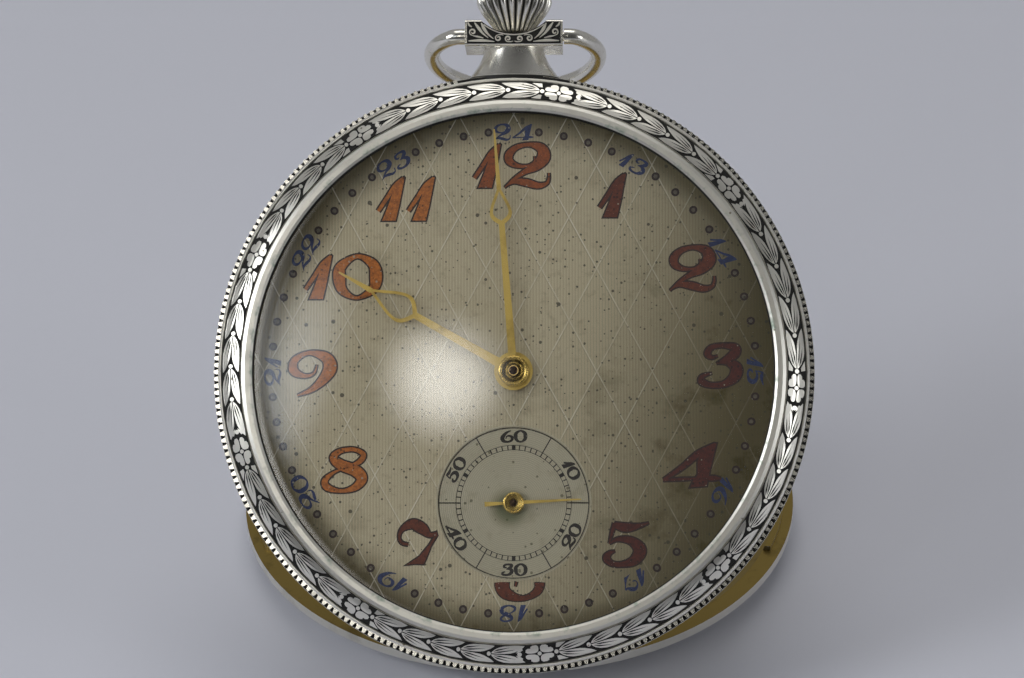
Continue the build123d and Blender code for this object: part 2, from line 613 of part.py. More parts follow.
def reeded_band():
    """The coin edge: fine reeds round the front, left off at the pendant."""
    points = []
    crest = REED_ROOT + REED_DEPTH
    for reed in range(REED_COUNT):
        for radius, share in ((REED_ROOT, -REED_FOOT), (crest, -REED_CREST), (crest, REED_CREST),
                              (REED_ROOT, REED_FOOT)):
            points.append(bearing(radius, (reed + share) * 360 / REED_COUNT))
    band = make_face(Polyline(*points, close=True)) - Circle(CASE_RADIUS)
    band -= Pos(0, REED_ROOT) * Rectangle(2 * REED_GAP_HALF, REED_ROOT / 2)
    return slab(band, REED_LOW, CASE_FRONT)


def case_middle():
    """The ring that carries everything, with its coin edge."""
    recess_top = CASE_BACK + LIP_RECESS_DEPTH
    section = [
        (BORE_RADIUS, PLATE_BACK), (BORE_RADIUS, -PLATE_FLANGE), (NECK_INNER, -PLATE_FLANGE),
        (NECK_INNER, NECK_TOP), (NECK_OUTER, NECK_TOP), (NECK_OUTER, CASE_FRONT), *flank_points(),
        (LIP_OUTER, CASE_BACK), (LIP_OUTER, recess_top), (LIP_INNER, recess_top), (LIP_INNER, CASE_BACK),
        (BACK_BORE_RADIUS, CASE_BACK), (BACK_BORE_RADIUS, PLATE_BACK),
    ]
    ring = turned_profile(section) + reeded_band()
    # room for the hinge, then the case's own knuckles
    pocket = KNUCKLE_RADIUS + KNUCKLE_GAP
    half = KNUCKLE_COUNT * KNUCKLE_LENGTH / 2
    ring -= rod_x(pocket, -half, half, -HINGE_OFFSET, HINGE_Z)
    ring -= block((-half, half), (-2 * CASE_RADIUS, -HINGE_OFFSET), (CASE_BACK - 1, HINGE_Z + pocket))
    for low, high in knuckle_spans(0):
        bar = rod_x(KNUCKLE_RADIUS, low, high, -HINGE_OFFSET, HINGE_Z)
        leaf = block((low, high), (-HINGE_OFFSET, -HINGE_OFFSET + pocket + GAP),
                     (HINGE_Z + GAP, HINGE_Z + pocket + GAP))
        ring += bar + leaf
    ring -= rod_x(HINGE_PIN_RADIUS, -half, half, -HINGE_OFFSET, HINGE_Z)
    return ring - rod_y(SLEEVE_RADIUS, 0, 2 * CASE_RADIUS, PENDANT_Z)


def knuckle_spans(parity):
    """The X spans of every second knuckle of the back hinge."""
    start = -KNUCKLE_COUNT * KNUCKLE_LENGTH / 2
    return [(start + place * KNUCKLE_LENGTH + KNUCKLE_GAP / 2,
             start + (place + 1) * KNUCKLE_LENGTH - KNUCKLE_GAP / 2)
            for place in range(parity, KNUCKLE_COUNT, 2)]


def ellipse_at(y, half_width, half_depth):
    """A section of the pendant's neck, square to its axis."""
    plane = Plane(origin=(0, y, PENDANT_Z), x_dir=(1, 0, 0), z_dir=(0, 1, 0))
    return plane * Ellipse(half_width, half_depth)


def pendant():
    """Flared neck, soldered to the case, with the engraved head that the bow hangs on."""
    def flared(share):
        """Half width and half depth of the neck, from its waist (0) to its base (1)."""
        return (NECK_WAIST_HALF + (NECK_BASE_HALF - NECK_WAIST_HALF) * share,
                NECK_WAIST_DEPTH + (NECK_BASE_DEPTH - NECK_WAIST_DEPTH) * share)
    rise = HEAD_BOTTOM - PENDANT_BASE
    sections = []
    for level in range(NECK_SECTIONS):
        height = level / (NECK_SECTIONS - 1)
        sections.append(ellipse_at(PENDANT_BASE + rise * height, *flared((1 - height) ** NECK_FLARE)))
    neck = loft(sections)
    neck += extrude(ellipse_at(PENDANT_BASE, *flared(1)), 2 * NECK_STAND + CASE_BULGE, dir=(0, -1, 0))
    neck -= turned_profile([(0, CASE_FRONT), *flank_points(), (0, CASE_BACK)])
    head = block((-HEAD_WIDTH / 2, HEAD_WIDTH / 2), (HEAD_BOTTOM, PENDANT_TOP),
                 (PENDANT_Z - HEAD_DEPTH / 2, PENDANT_Z + HEAD_DEPTH / 2))
    head = fillet(head.edges().filter_by(Axis.X), HEAD_ROUND)
    head -= Pos(0, SADDLE_Y + SADDLE_RADIUS, PENDANT_Z) * Cylinder(SADDLE_RADIUS, 2 * HEAD_DEPTH)
    solid = neck + head
    solid -= rod_y(SLEEVE_RADIUS, 0, PENDANT_TOP, PENDANT_Z)
    deep = HEAD_WIDTH / 2 - BOW_PIN_LENGTH - GAP
    for low, high in ((-HEAD_WIDTH, -deep), (deep, HEAD_WIDTH)):
        solid -= rod_x(BOW_PIN_RADIUS + RUNNING, low, high, BOW_PIVOT_Y, PENDANT_Z)
    return solid


def pendant_sleeve():
    """The steel sleeve in the pendant that the stem snaps in and out of."""
    low = BORE_RADIUS + PLAY
    pipe = rod_y(SLEEVE_RADIUS, low, SADDLE_Y - GAP, PENDANT_Z)
    return pipe - rod_y(SLEEVE_BORE, low, SADDLE_Y, PENDANT_Z)


def bow():
    """The wire loop, drawn upright and then folded back to its stop."""
    half = BOW_WIDTH / 2 - BOW_WIRE / 2
    start = HEAD_WIDTH / 2 + GAP
    first = radians(BOW_FIRST_TURN)
    side_x = half - BOW_SHOULDER * (1 - sin(first))
    ear_x = side_x - BOW_FIRST_BEND * sin(first)
    ear_y = BOW_FIRST_BEND * (1 - cos(first))
    shoulder_y = ear_y + BOW_SHOULDER * cos(first)
    line = Line((start, 0), (ear_x, 0))
    ear = TangentArc((ear_x, 0), (side_x, ear_y), tangent=(1, 0))
    side = TangentArc((side_x, ear_y), (half, shoulder_y), tangent=(cos(first), sin(first)))
    top = TangentArc((half, shoulder_y), (0, shoulder_y + half), tangent=(0, 1))
    right = Wire([line.edge(), ear.edge(), side.edge(), top.edge()])
    section = Plane(origin=(start, 0, 0), z_dir=(1, 0, 0)) * Circle(BOW_WIRE / 2)
    half_bow = sweep(section, path=right)
    pin = rod_x(BOW_PIN_RADIUS, start - BOW_PIN_LENGTH, start, 0, 0)
    half_bow += pin
    loop = half_bow + mirror(half_bow, Plane.YZ)
    return Pos(0, BOW_PIVOT_Y, PENDANT_Z) * Rot(-BOW_FOLD, 0, 0) * loop


def crown():
    """The fluted onion crown."""
    waist, wide, height = CROWN_WAIST, CROWN_RADIUS, CROWN_HEIGHT
    outline = Line((0, 0), (waist, 0))
    button = wide * CROWN_BUTTON
    low_swell = (wide * CROWN_SWELL, height * CROWN_LOW_SWELL)
    high_swell = (wide * CROWN_SWELL, height * CROWN_HIGH_SWELL)
    shoulder = Spline((waist, 0), low_swell, (wide, height * CROWN_WIDEST), high_swell, (button, height),
                      tangents=CROWN_TANGENTS)
    top = Line((button, height), (0, height))
    axis_line = Line((0, height), (0, 0))
    face = make_face([outline, shoulder, top, axis_line])
    solid = revolve(face, Axis.Y)
    for flute in range(CROWN_FLUTES):
        groove = Pos(wide, 0, 0) * Rot(-90, 0, 0) * Cylinder(
            CROWN_FLUTE_RADIUS, 3 * height, align=(Align.CENTER, Align.CENTER, Align.CENTER))
        solid -= Rot(0, flute * 360 / CROWN_FLUTES, 0) * groove
    solid = Pos(0, CROWN_BASE, PENDANT_Z) * solid
    return solid - rod_y(STEM_RADIUS, 0, CROWN_BASE + height / 2, PENDANT_Z)


def bezel():
    """The ring that snaps over the neck and holds the crystal, with its sloping band for the engraving."""
    skirt = NECK_OUTER + 2 * PLAY
    skirt_top = NECK_TOP + RUNNING
    edge_inner = CASE_RADIUS - BEZEL_EDGE_WIDTH
    band_outer = edge_inner - BEZEL_GROOVE
    groove_inner = edge_inner - BEZEL_BAND_WIDTH
    band_inner = groove_inner + BEZEL_GROOVE
    band_top = BEZEL_CROWN - BEZEL_BAND_DROP
    crown_outer = GLASS_OPENING + BEZEL_CROWN_WIDTH
    rebate = GLASS_OPENING + GLASS_REBATE
    seat_top = GLASS_SEAT + GLASS_EDGE
    slope = []
    for share in (1 / 3, 2 / 3):
        level = BEZEL_EDGE_TOP + (band_top - BEZEL_EDGE_TOP) * share + BEZEL_BAND_SWELL
        slope.append((band_outer + (band_inner - band_outer) * share, level))
    section = [
        (skirt, CASE_FRONT), (CASE_RADIUS, CASE_FRONT), (CASE_RADIUS, BEZEL_EDGE_TOP - BEZEL_CHAMFER),
        (CASE_RADIUS - BEZEL_CHAMFER, BEZEL_EDGE_TOP), (edge_inner + BEZEL_GROOVE, BEZEL_EDGE_TOP),
        (edge_inner, BEZEL_EDGE_TOP - BEZEL_GROOVE), (band_outer, BEZEL_EDGE_TOP), *slope,
        (band_inner, band_top), (groove_inner, band_top - BEZEL_GROOVE),
        (groove_inner - BEZEL_GROOVE, band_top), (crown_outer - BEZEL_CHAMFER, BEZEL_CROWN),
        (GLASS_OPENING + 2 * BEZEL_CHAMFER, BEZEL_CROWN), (GLASS_OPENING, BEZEL_CROWN - BEZEL_CHAMFER),
        (GLASS_OPENING, seat_top), (rebate, seat_top), (rebate, GLASS_SEAT), (GLASS_OPENING, GLASS_SEAT),
        (GLASS_OPENING, skirt_top), (skirt, skirt_top),
    ]
    return turned_profile(section)


def crystal():
    """The domed glass."""
    rim = GLASS_OPENING + GLASS_REBATE
    top = GLASS_SEAT + GLASS_EDGE
    shoulder = GLASS_OPENING - GAP
    apex = top + GLASS_RISE
    inner_apex = apex - GLASS_WALL
    inner_rim = shoulder - GLASS_WALL
    edges = [
        Line((rim, 0, GLASS_SEAT), (rim, 0, top)),
        Line((rim, 0, top), (shoulder, 0, top)),
        domed_edge((shoulder, top), apex),
        Line((0, 0, apex), (0, 0, inner_apex)),
        domed_edge((inner_rim, GLASS_SEAT), inner_apex),
        Line((inner_rim, 0, GLASS_SEAT), (rim, 0, GLASS_SEAT)),
    ]
    return revolve(make_face(edges), Axis.Z)


def domed_edge(start, apex):
    """An arc from a point (radius, z) to an apex on the Z axis, level at the apex."""
    radius, z = start
    rise = apex - z
    sphere = (radius ** 2 + rise ** 2) / (2 * rise)
    lean_angle = atan2(radius, sphere - rise) / 2
    middle = (sphere * sin(lean_angle), 0, apex - sphere + sphere * cos(lean_angle))
    return ThreePointArc((radius, 0, z), middle, (0, 0, apex))


def back_cover():
    """The shallow dish of the back cover, with its snap lip and two hinge knuckles."""
    rim_top = CASE_BACK - COVER_SEAM
    rim_low = rim_top - COVER_RIM
    inner = COVER_RADIUS - COVER_RIM_WALL
    mid = (COVER_RADIUS + COVER_FLAT) / 2
    knee = COVER_BOTTOM + (rim_low - COVER_BOTTOM) * COVER_KNEE_RISE
    bend = COVER_BOTTOM + (rim_low - COVER_BOTTOM) * COVER_BEND_RISE
    section = [
        (0, COVER_BOTTOM), (COVER_FLAT, COVER_BOTTOM), (mid, knee),
        (mid + (COVER_RADIUS - mid) * COVER_BEND_REACH, bend),
        (COVER_RADIUS, rim_low), (COVER_RADIUS, rim_top), (inner, rim_top), (inner, rim_low),
        (mid, knee + COVER_WALL),
        (COVER_FLAT, COVER_BOTTOM + COVER_WALL), (0, COVER_BOTTOM + COVER_WALL),
    ]
    dish = turned_profile(section)
    lip = turned_profile([
        (inner, rim_top - GAP), (LIP_OUTER - PLAY, rim_top - GAP), (LIP_OUTER - PLAY, rim_top + COVER_LIP),
        (inner + PLAY, rim_top + COVER_LIP), (inner, rim_top)])
    # the lip is left off beside the hinge, where it would foul the case as the cover swings
    lip -= block((-COVER_RADIUS, COVER_RADIUS), (-COVER_RADIUS, -COVER_RADIUS / 3),
                 (COVER_BOTTOM, CASE_FRONT))
    dish += lip
    half = KNUCKLE_COUNT * KNUCKLE_LENGTH / 2
    reach = sqrt(COVER_RADIUS ** 2 - HINGE_OFFSET ** 2) + KNUCKLE_GAP
    span = max(half, reach)
    inner_edge = -HINGE_OFFSET + KNUCKLE_RADIUS + KNUCKLE_GAP
    dish -= block((-span, span), (-2 * COVER_RADIUS, inner_edge), (COVER_BOTTOM - 1, CASE_FRONT))
    for low, high in knuckle_spans(1):
        bar = rod_x(KNUCKLE_RADIUS, low, high, -HINGE_OFFSET, HINGE_Z)
        leaf = block((low, high), (-HINGE_OFFSET, inner_edge + GAP),
                     (HINGE_Z - KNUCKLE_RADIUS, HINGE_Z - KNUCKLE_RADIUS + HINGE_WEB))
        dish += bar + leaf
    return dish - rod_x(HINGE_PIN_RADIUS + RUNNING, -half, half, -HINGE_OFFSET, HINGE_Z)


def back_hinge_pin():
    """The pin through the five knuckles, tight in the case's three."""
    half = KNUCKLE_COUNT * KNUCKLE_LENGTH / 2 - KNUCKLE_GAP / 2
    return rod_x(HINGE_PIN_RADIUS, -half, half, -HINGE_OFFSET, HINGE_Z)


# ---------------------------------------------------------------- dial and hands

def dial():
    """The metal dial with its sunk small seconds and two feet."""
    disc = rod(DIAL_RADIUS, 0, DIAL_THICKNESS)
    disc -= rod(SECONDS_RADIUS, DIAL_THICKNESS - SECONDS_RECESS, DIAL_THICKNESS, *FOURTH)
    disc -= rod(DIAL_CENTRE_HOLE, 0, DIAL_THICKNESS)
    disc -= rod(DIAL_SECONDS_HOLE, 0, DIAL_THICKNESS, *FOURTH)
    for x, y in dial_feet():
        disc += rod(DIAL_FOOT_RADIUS, -DIAL_FOOT_LENGTH, 0, x, y)
    return disc


def dial_feet():
    """Where the two dial feet stand."""
    return [bearing(DIAL_FOOT_CIRCLE, angle) for angle in (DIAL_FOOT_BEARING, DIAL_FOOT_BEARING + 180)]


def dial_screws():
    """Two screws in the plate's side that grip the dial feet."""
    screws = []
    for angle in (DIAL_FOOT_BEARING, DIAL_FOOT_BEARING + 180):
        low = DIAL_FOOT_CIRCLE + DIAL_FOOT_RADIUS
        high = MOVEMENT_RADIUS - GAP
        bar = rod_x(DIAL_SCREW_RADIUS, low, high, 0, DIAL_SCREW_Z)
        slot = block((high - SCREW_SLOT, high), (-SCREW_SLOT / 2, SCREW_SLOT / 2),
                     (DIAL_SCREW_Z - DIAL_SCREW_RADIUS, DIAL_SCREW_Z + DIAL_SCREW_RADIUS))
        screws.append(Rot(0, 0, angle) * (bar - slot))
    return screws


def pear(low, high, half):
    """A pear-shaped outline along Y, pointed at both ends."""
    waist = low + (high - low) * LOOP_WIDEST
    below = waist - low
    above = high - waist
    side_low = (half, waist - below * LOOP_BELLY)
    side_high = (half, waist + above * LOOP_LIFT)
    right_low = Bezier((0, low), (half * LOOP_FOOT, low + below * LOOP_LIFT), side_low, (half, waist))
    right_high = Bezier((half, waist), side_high, (half * LOOP_POINT, high - above * LOOP_LIFT), (0, high))
    right = [right_low, right_high]
    left = [mirror(edge, Plane.YZ) for edge in right]
    return make_face([*right, *left])


def tapered(start, start_half, end, end_half):
    """A flat arm along Y with its own width at each end."""
    corners = [(-start_half, start), (start_half, start), (end_half, end), (-end_half, end)]
    return make_face(Polyline(*corners, close=True))


def hand_face(hub, arm_half, loop, loop_half, needle, needle_half, length):
    """A hand: a round hub, a tapering arm, an open pear-shaped loop and a long needle."""
    loop_high = length - needle
    loop_low = loop_high - loop
    arm = tapered(0, arm_half, loop_low + HAND_LINE, needle_half * HAND_ARM_END)
    ring = pear(loop_low, loop_high, loop_half)
    hole_low = loop_low + HAND_LINE * HAND_HOLE_LOW
    hole = pear(hole_low, loop_high - HAND_LINE * HAND_HOLE_HIGH, loop_half - HAND_LINE)
    root = loop_high - HAND_LINE * HAND_POINT_START
    point = tapered(root, needle_half * HAND_POINT_ROOT, length, needle_half * HAND_POINT_TIP)
    return Circle(hub) + arm + (ring - hole) + point


def hand(face, height, angle):
    """A hand's outline made solid and turned to point at an angle."""
    return Rot(0, 0, angle - 90) * slab(face, height, height + HAND_THICKNESS)


def minute_hand():
    """The long hand, pressed on the cannon pinion's pipe."""
    face = hand_face(MINUTE_HUB, MINUTE_ARM_HALF, MINUTE_LOOP, MINUTE_LOOP_HALF,
                     MINUTE_NEEDLE, MINUTE_NEEDLE_HALF,
                     MINUTE_HAND_LENGTH)
    boss = rod(MINUTE_HUB * MINUTE_BOSS_SHARE, MINUTE_HAND_Z - GAP, MINUTE_HAND_Z)
    return hand(face, MINUTE_HAND_Z, MINUTE_ANGLE) + boss - rod(CANNON_PIPE, 0, GLASS_SEAT + GLASS_RISE)


def hour_hand():
    """The short hand, pressed on the hour wheel's pipe."""
    face = hand_face(HOUR_HUB, HOUR_ARM_HALF, HOUR_LOOP, HOUR_LOOP_HALF, HOUR_NEEDLE, HOUR_NEEDLE_HALF,
                     HOUR_HAND_LENGTH)
    boss = rod(HOUR_PIPE + HAND_LINE, HOUR_HAND_Z - GAP, HOUR_HAND_Z)
    return hand(face, HOUR_HAND_Z, HOUR_ANGLE) + boss - rod(HOUR_PIPE, 0, GLASS_SEAT + GLASS_RISE)


def seconds_hand():
    """A thin needle with a ring hub and a short counterweight."""
    needle = tapered(0, SECONDS_ARM_HALF, SECONDS_HAND_LENGTH, SECONDS_TIP_HALF)
    tail = tapered(-SECONDS_HAND_TAIL, SECONDS_TAIL_HALF, 0, SECONDS_TIP_HALF)
    shape = hand(Circle(SECONDS_HUB) + needle + tail, SECONDS_HAND_Z, SECOND_ANGLE)
    pipe_low = DIAL_THICKNESS - SECONDS_RECESS + GAP / 2
    shape = Pos(*FOURTH) * (shape + rod(SECONDS_PIPE + HAND_LINE, pipe_low, SECONDS_HAND_Z))
    return shape - rod(SECONDS_PIPE, 0, SECONDS_HAND_Z + HAND_THICKNESS, *FOURTH)


# ---------------------------------------------------------------- motion and setting work

def cannon_pinion():
    """Friction-tight on the centre arbor; its pipe carries the minute hand."""
    low = -DIAL_SIDE_RECESS + GAP / 2
    teeth_end = MINUTE_WHEEL_Z + WHEEL_THICKNESS + GAP
    teeth = slab(tooth_face(CANNON_TEETH, CANNON_MODULE, CENTRE_TURNED), low, teeth_end)
    pipe = rod(CANNON_PIPE, low, MINUTE_HAND_Z + HAND_THICKNESS)
    return teeth + pipe - rod(CENTRE_POST, low, GLASS_SEAT + GLASS_RISE)


def hour_wheel():
    """Rides on the cannon pinion; its pipe carries the hour hand."""
    rim = HOUR_MODULE * HOUR_TEETH / 2 * HOUR_RIM_SHARE
    face = spoked(tooth_face(HOUR_TEETH, HOUR_MODULE, HOUR_TURNED), HOUR_PIPE + HAND_LINE, rim)
    solid = slab(face, HOUR_WHEEL_Z, HOUR_WHEEL_Z + WHEEL_THICKNESS)
    solid += rod(HOUR_PIPE, HOUR_WHEEL_Z, HOUR_HAND_Z + HAND_THICKNESS)
    return solid - rod(CANNON_PIPE + RUNNING, HOUR_WHEEL_Z, HOUR_HAND_Z + HAND_THICKNESS)


def minute_wheel():
    """The intermediate wheel with its pinion, on a post in the plate."""
    wheel = tooth_face(MINUTE_TEETH, CANNON_MODULE, MINUTE_WHEEL_TURNED)
    pinion = tooth_face(MINUTE_PINION_TEETH, HOUR_MODULE, MINUTE_WHEEL_TURNED)
    solid = slab(wheel, MINUTE_WHEEL_Z, MINUTE_WHEEL_Z + WHEEL_THICKNESS)
    solid += slab(pinion, MINUTE_WHEEL_Z + WHEEL_THICKNESS, HOUR_WHEEL_Z + WHEEL_THICKNESS)
    return Pos(*MINUTE_WHEEL) * solid - rod(POST_RADIUS + RUNNING, MINUTE_WHEEL_Z, 0, *MINUTE_WHEEL)


def setting_wheel():
    """Carries the clutch's turning to the minute wheel when the crown is drawn out."""
    wheel = slab(tooth_face(SETTING_TEETH, CANNON_MODULE, SETTING_TURNED), MINUTE_WHEEL_Z,
                 MINUTE_WHEEL_Z + WHEEL_THICKNESS)
    return Pos(*SETTING_WHEEL) * wheel - rod(POST_RADIUS + RUNNING, MINUTE_WHEEL_Z, 0, *SETTING_WHEEL)


def winding_stem():
    """From the crown to the clutch: round, grooved for the setting lever, square at the tip."""
    square_end = WINDING_PINION_Y - GAP / 2
    half = STEM_SQUARE / 2
    solid = rod_y(STEM_RADIUS, square_end, CROWN_BASE + CROWN_HEIGHT / 2, PENDANT_Z)
    solid -= (rod_y(2 * STEM_RADIUS, GROOVE_Y, GROOVE_Y + GROOVE_WIDTH, PENDANT_Z)
              - rod_y(GROOVE_RADIUS, GROOVE_Y, GROOVE_Y + GROOVE_WIDTH, PENDANT_Z))
    return solid + block((-half, half), (STEM_TIP, square_end), (PENDANT_Z - half, PENDANT_Z + half))


def face_teeth(radius, inner, y, count, depth):
    """Notches round the end of a wheel on the stem."""
    notches = []
    for tooth in range(count):
        notch = block((inner, 2 * radius), (y - depth, y + depth), (-NOTCH_WIDTH / 2, NOTCH_WIDTH / 2))
        notches.append(Pos(0, 0, PENDANT_Z) * Rot(0, tooth * 360 / count, 0) * notch)
    return notches


def winding_pinion():
    """Turns on the round of the stem and drives the crown wheel."""
    low, high = WINDING_PINION_Y, WINDING_PINION_Y + WINDING_PINION_LENGTH
    solid = rod_y(WINDING_PINION_RADIUS, low, high, PENDANT_Z)
    solid -= rod_y(STEM_RADIUS + RUNNING, low, high, PENDANT_Z)
    inner = WINDING_PINION_RADIUS - WINDING_NOTCH
    for notch in face_teeth(WINDING_PINION_RADIUS, inner, high, WINDING_PINION_TEETH, 2 * WINDING_NOTCH):
        solid -= notch
    return solid


def clutch_wheel():
    """Slides on the square of the stem, between the winding pinion and the setting wheel."""
    low, high = CLUTCH_Y, CLUTCH_Y + CLUTCH_LENGTH
    half = STEM_SQUARE / 2 + RUNNING
    solid = rod_y(CLUTCH_RADIUS, low, high, PENDANT_Z)
    solid -= (rod_y(2 * CLUTCH_RADIUS, YOKE_Y - YOKE_GROOVE / 2, YOKE_Y + YOKE_GROOVE / 2, PENDANT_Z)
              - rod_y(CLUTCH_NECK, YOKE_Y - YOKE_GROOVE / 2, YOKE_Y + YOKE_GROOVE / 2, PENDANT_Z))
    solid -= block((-half, half), (low, high), (PENDANT_Z - half, PENDANT_Z + half))
    inner = CLUTCH_RADIUS - CLUTCH_TOOTH_WIDTH
    for notch in face_teeth(CLUTCH_RADIUS, inner, low, CLUTCH_TEETH, CLUTCH_TOOTH_DEPTH):
        solid -= notch
    return solid


def lever_arm(start, end, width):
    """A flat bar with round ends between two points."""
    length = hypot(end[0] - start[0], end[1] - start[1])
    angle = degrees(atan2(end[1] - start[1], end[0] - start[0]))
    middle = ((start[0] + end[0]) / 2, (start[1] + end[1]) / 2)
    return Pos(*middle) * Rot(0, 0, angle) * SlotCenterToCenter(length, width)


def setting_lever():
    """Its pin follows the stem's groove as the crown is drawn out."""
    pin = (0.0, GROOVE_Y + GROOVE_WIDTH / 2)
    face = lever_arm(SETTING_LEVER_POST, pin, LEVER_WIDTH) + Pos(*SETTING_LEVER_POST) * Circle(LEVER_WIDTH)
    low = -LEVER_DEPTH
    solid = slab(face, low, low + WHEEL_THICKNESS)
    solid += rod(SCREW_SHANK / 2, PENDANT_Z + GROOVE_RADIUS + RUNNING, low, *pin)
    return solid - rod(POST_RADIUS + RUNNING, low, 0, *SETTING_LEVER_POST)


def clutch_lever():
    """The yoke, whose finger moves the clutch along the stem."""
    finger = (0.0, YOKE_Y)
    face = lever_arm(YOKE_POST, finger, LEVER_WIDTH * YOKE_ARM_SHARE)
    face += Pos(*YOKE_POST) * Circle(LEVER_WIDTH * YOKE_EYE_SHARE)
    low = -LEVER_DEPTH
    solid = slab(face, low, low + WHEEL_THICKNESS)
    thin = YOKE_GROOVE / 2 - RUNNING - GAP
    solid += block((-thin, thin), (YOKE_Y - thin, YOKE_Y + thin), (PENDANT_Z + CLUTCH_NECK + RUNNING, low))
    return solid - rod(POST_RADIUS + RUNNING, low, 0, *YOKE_POST)


def clutch_lever_spring():
    """A bent leaf that presses the yoke towards the winding position."""
    x, y = YOKE_POST
    low = -LEVER_DEPTH
    path = [(x + across, y + up) for across, up in CLUTCH_SPRING_BENDS]
    face = disc_face(SPRING_WIDTH, path[0])
    for start, end in zip(path, path[1:]):
        face += lever_arm(start, end, SPRING_WIDTH)
    return slab(face, low, low + WHEEL_THICKNESS)


# ---------------------------------------------------------------- plate and bridges

def case_screw_places():
    """Where the two case screws stand, at the movement's edge."""
    reach = MOVEMENT_RADIUS - CASE_SCREW_HEAD / 2 + GAP
    return [bearing(reach, angle) for angle in CASE_SCREW_BEARINGS]


def disc_face(radius, centre=(0.0, 0.0)):
    """A flat disc about a point."""
    return Pos(*centre) * Circle(radius)


def rectangle(x_range, y_range):
    """A flat rectangle between pairs of coordinates."""
    width = x_range[1] - x_range[0]
    height = y_range[1] - y_range[0]
    return Pos(sum(x_range) / 2, sum(y_range) / 2) * Rectangle(width, height)


def main_plate():
    """Carries the movement between dial and bridges, with pockets on both sides."""
    solid = rod(MOVEMENT_RADIUS, PLATE_BACK, 0) + rod(PLATE_FLANGE_RADIUS, -PLATE_FLANGE, 0)
    motion_pocket = (disc_face(HOUR_WHEEL_POCKET) + disc_face(MINUTE_WHEEL_POCKET, MINUTE_WHEEL)
                     + disc_face(SETTING_WHEEL_POCKET, SETTING_WHEEL))
    solid -= slab(motion_pocket, -DIAL_SIDE_RECESS, 0)
    lever_pocket = rectangle(LEVER_POCKET_X, LEVER_POCKET_Y) & Circle(MOVEMENT_RADIUS - 1)
    solid -= slab(lever_pocket, -LEVER_DEPTH - RUNNING, 0)
    solid -= rod(BARREL_POCKET, PLATE_BACK, BARREL_FLOOR + GAP, *BARREL)
    pinion_window = rectangle((-WINDOW_HALF, WINDOW_HALF), (WINDING_PINION_Y - GAP, PINION_END + GAP))
    clutch_window = rectangle((-CLUTCH_RADIUS - GAP, CLUTCH_RADIUS + GAP),
                              (CLUTCH_Y - CLUTCH_TRAVEL - GAP, WINDING_PINION_Y))
    pin_slot = rectangle((-PIN_SLOT_HALF, PIN_SLOT_HALF),
                         (GROOVE_Y, GROOVE_Y + GROOVE_WIDTH + CROWN_TRAVEL - GAP))
    solid -= slab(pinion_window + clutch_window + pin_slot, PLATE_BACK, 0)
    solid -= rod_y(STEM_RADIUS + RUNNING, CLUTCH_Y, PLATE_FLANGE_RADIUS + 1, PENDANT_Z)
    for x, y in dial_feet():
        solid -= rod(DIAL_FOOT_RADIUS + RUNNING, PLATE_BACK, 0, x, y)
    for angle in (DIAL_FOOT_BEARING, DIAL_FOOT_BEARING + 180):
        bore = rod_x(DIAL_SCREW_RADIUS, DIAL_FOOT_CIRCLE, PLATE_FLANGE_RADIUS, 0, DIAL_SCREW_Z)
        solid -= Rot(0, 0, angle) * bore
    for x, y in screw_places() + case_screw_places():
        solid -= rod(SCREW_SHANK, PLATE_BACK, PLATE_BACK + SCREW_LENGTH_IN_PLATE, x, y)
    for centre in (THIRD, ESCAPE, PALLET, BALANCE):
        solid -= rod(PIVOT_RADIUS + RUNNING, PLATE_BACK, PIVOT_END, *centre)
    solid -= rod(SECONDS_PIPE + RUNNING, PLATE_BACK, 0, *FOURTH)
    solid -= rod(CENTRE_POST + RUNNING, PLATE_BACK, 0)
    solid -= rod(BARREL_PIVOT + RUNNING, BARREL_FLOOR, BARREL_PIVOT_END, *BARREL)
    posts = ((MINUTE_WHEEL, DIAL_SIDE_RECESS), (SETTING_WHEEL, DIAL_SIDE_RECESS),
             (SETTING_LEVER_POST, LEVER_DEPTH + RUNNING), (YOKE_POST, LEVER_DEPTH + RUNNING))
    for centre, depth in posts:
        solid += rod(POST_RADIUS, -depth, -RUNNING, *centre)
    return solid


def bridge(face, under, top):
    """A bridge: its outline as a slab, with a foot that stands on the plate outside the wheels."""
    foot = face - Circle(FOOT_INNER)
    solid = slab(face, top, under) + slab(foot, under, PLATE_BACK)
    for x, y in case_screw_places():
        solid -= rod(CASE_SCREW_HEAD + GAP, top, PLATE_BACK, x, y)
    return solid


def screw_hole(solid, x, y, top):
    """Sink a bridge screw into a bridge."""
    solid -= rod(SCREW_HEAD + RUNNING, top, top + SCREW_HEAD_HEIGHT, x, y)
    return solid - rod(SCREW_SHANK + RUNNING, top, PLATE_BACK, x, y)


def jewel_hole(solid, centre, top):
    """A seat for a jewel in the back of a bridge, with a pivot hole through."""
    solid -= rod(JEWEL_RADIUS, top, top + JEWEL_THICKNESS, *centre)
    return solid - rod(PIVOT_RADIUS + RUNNING, top, BRIDGE_UNDER + 2, *centre)


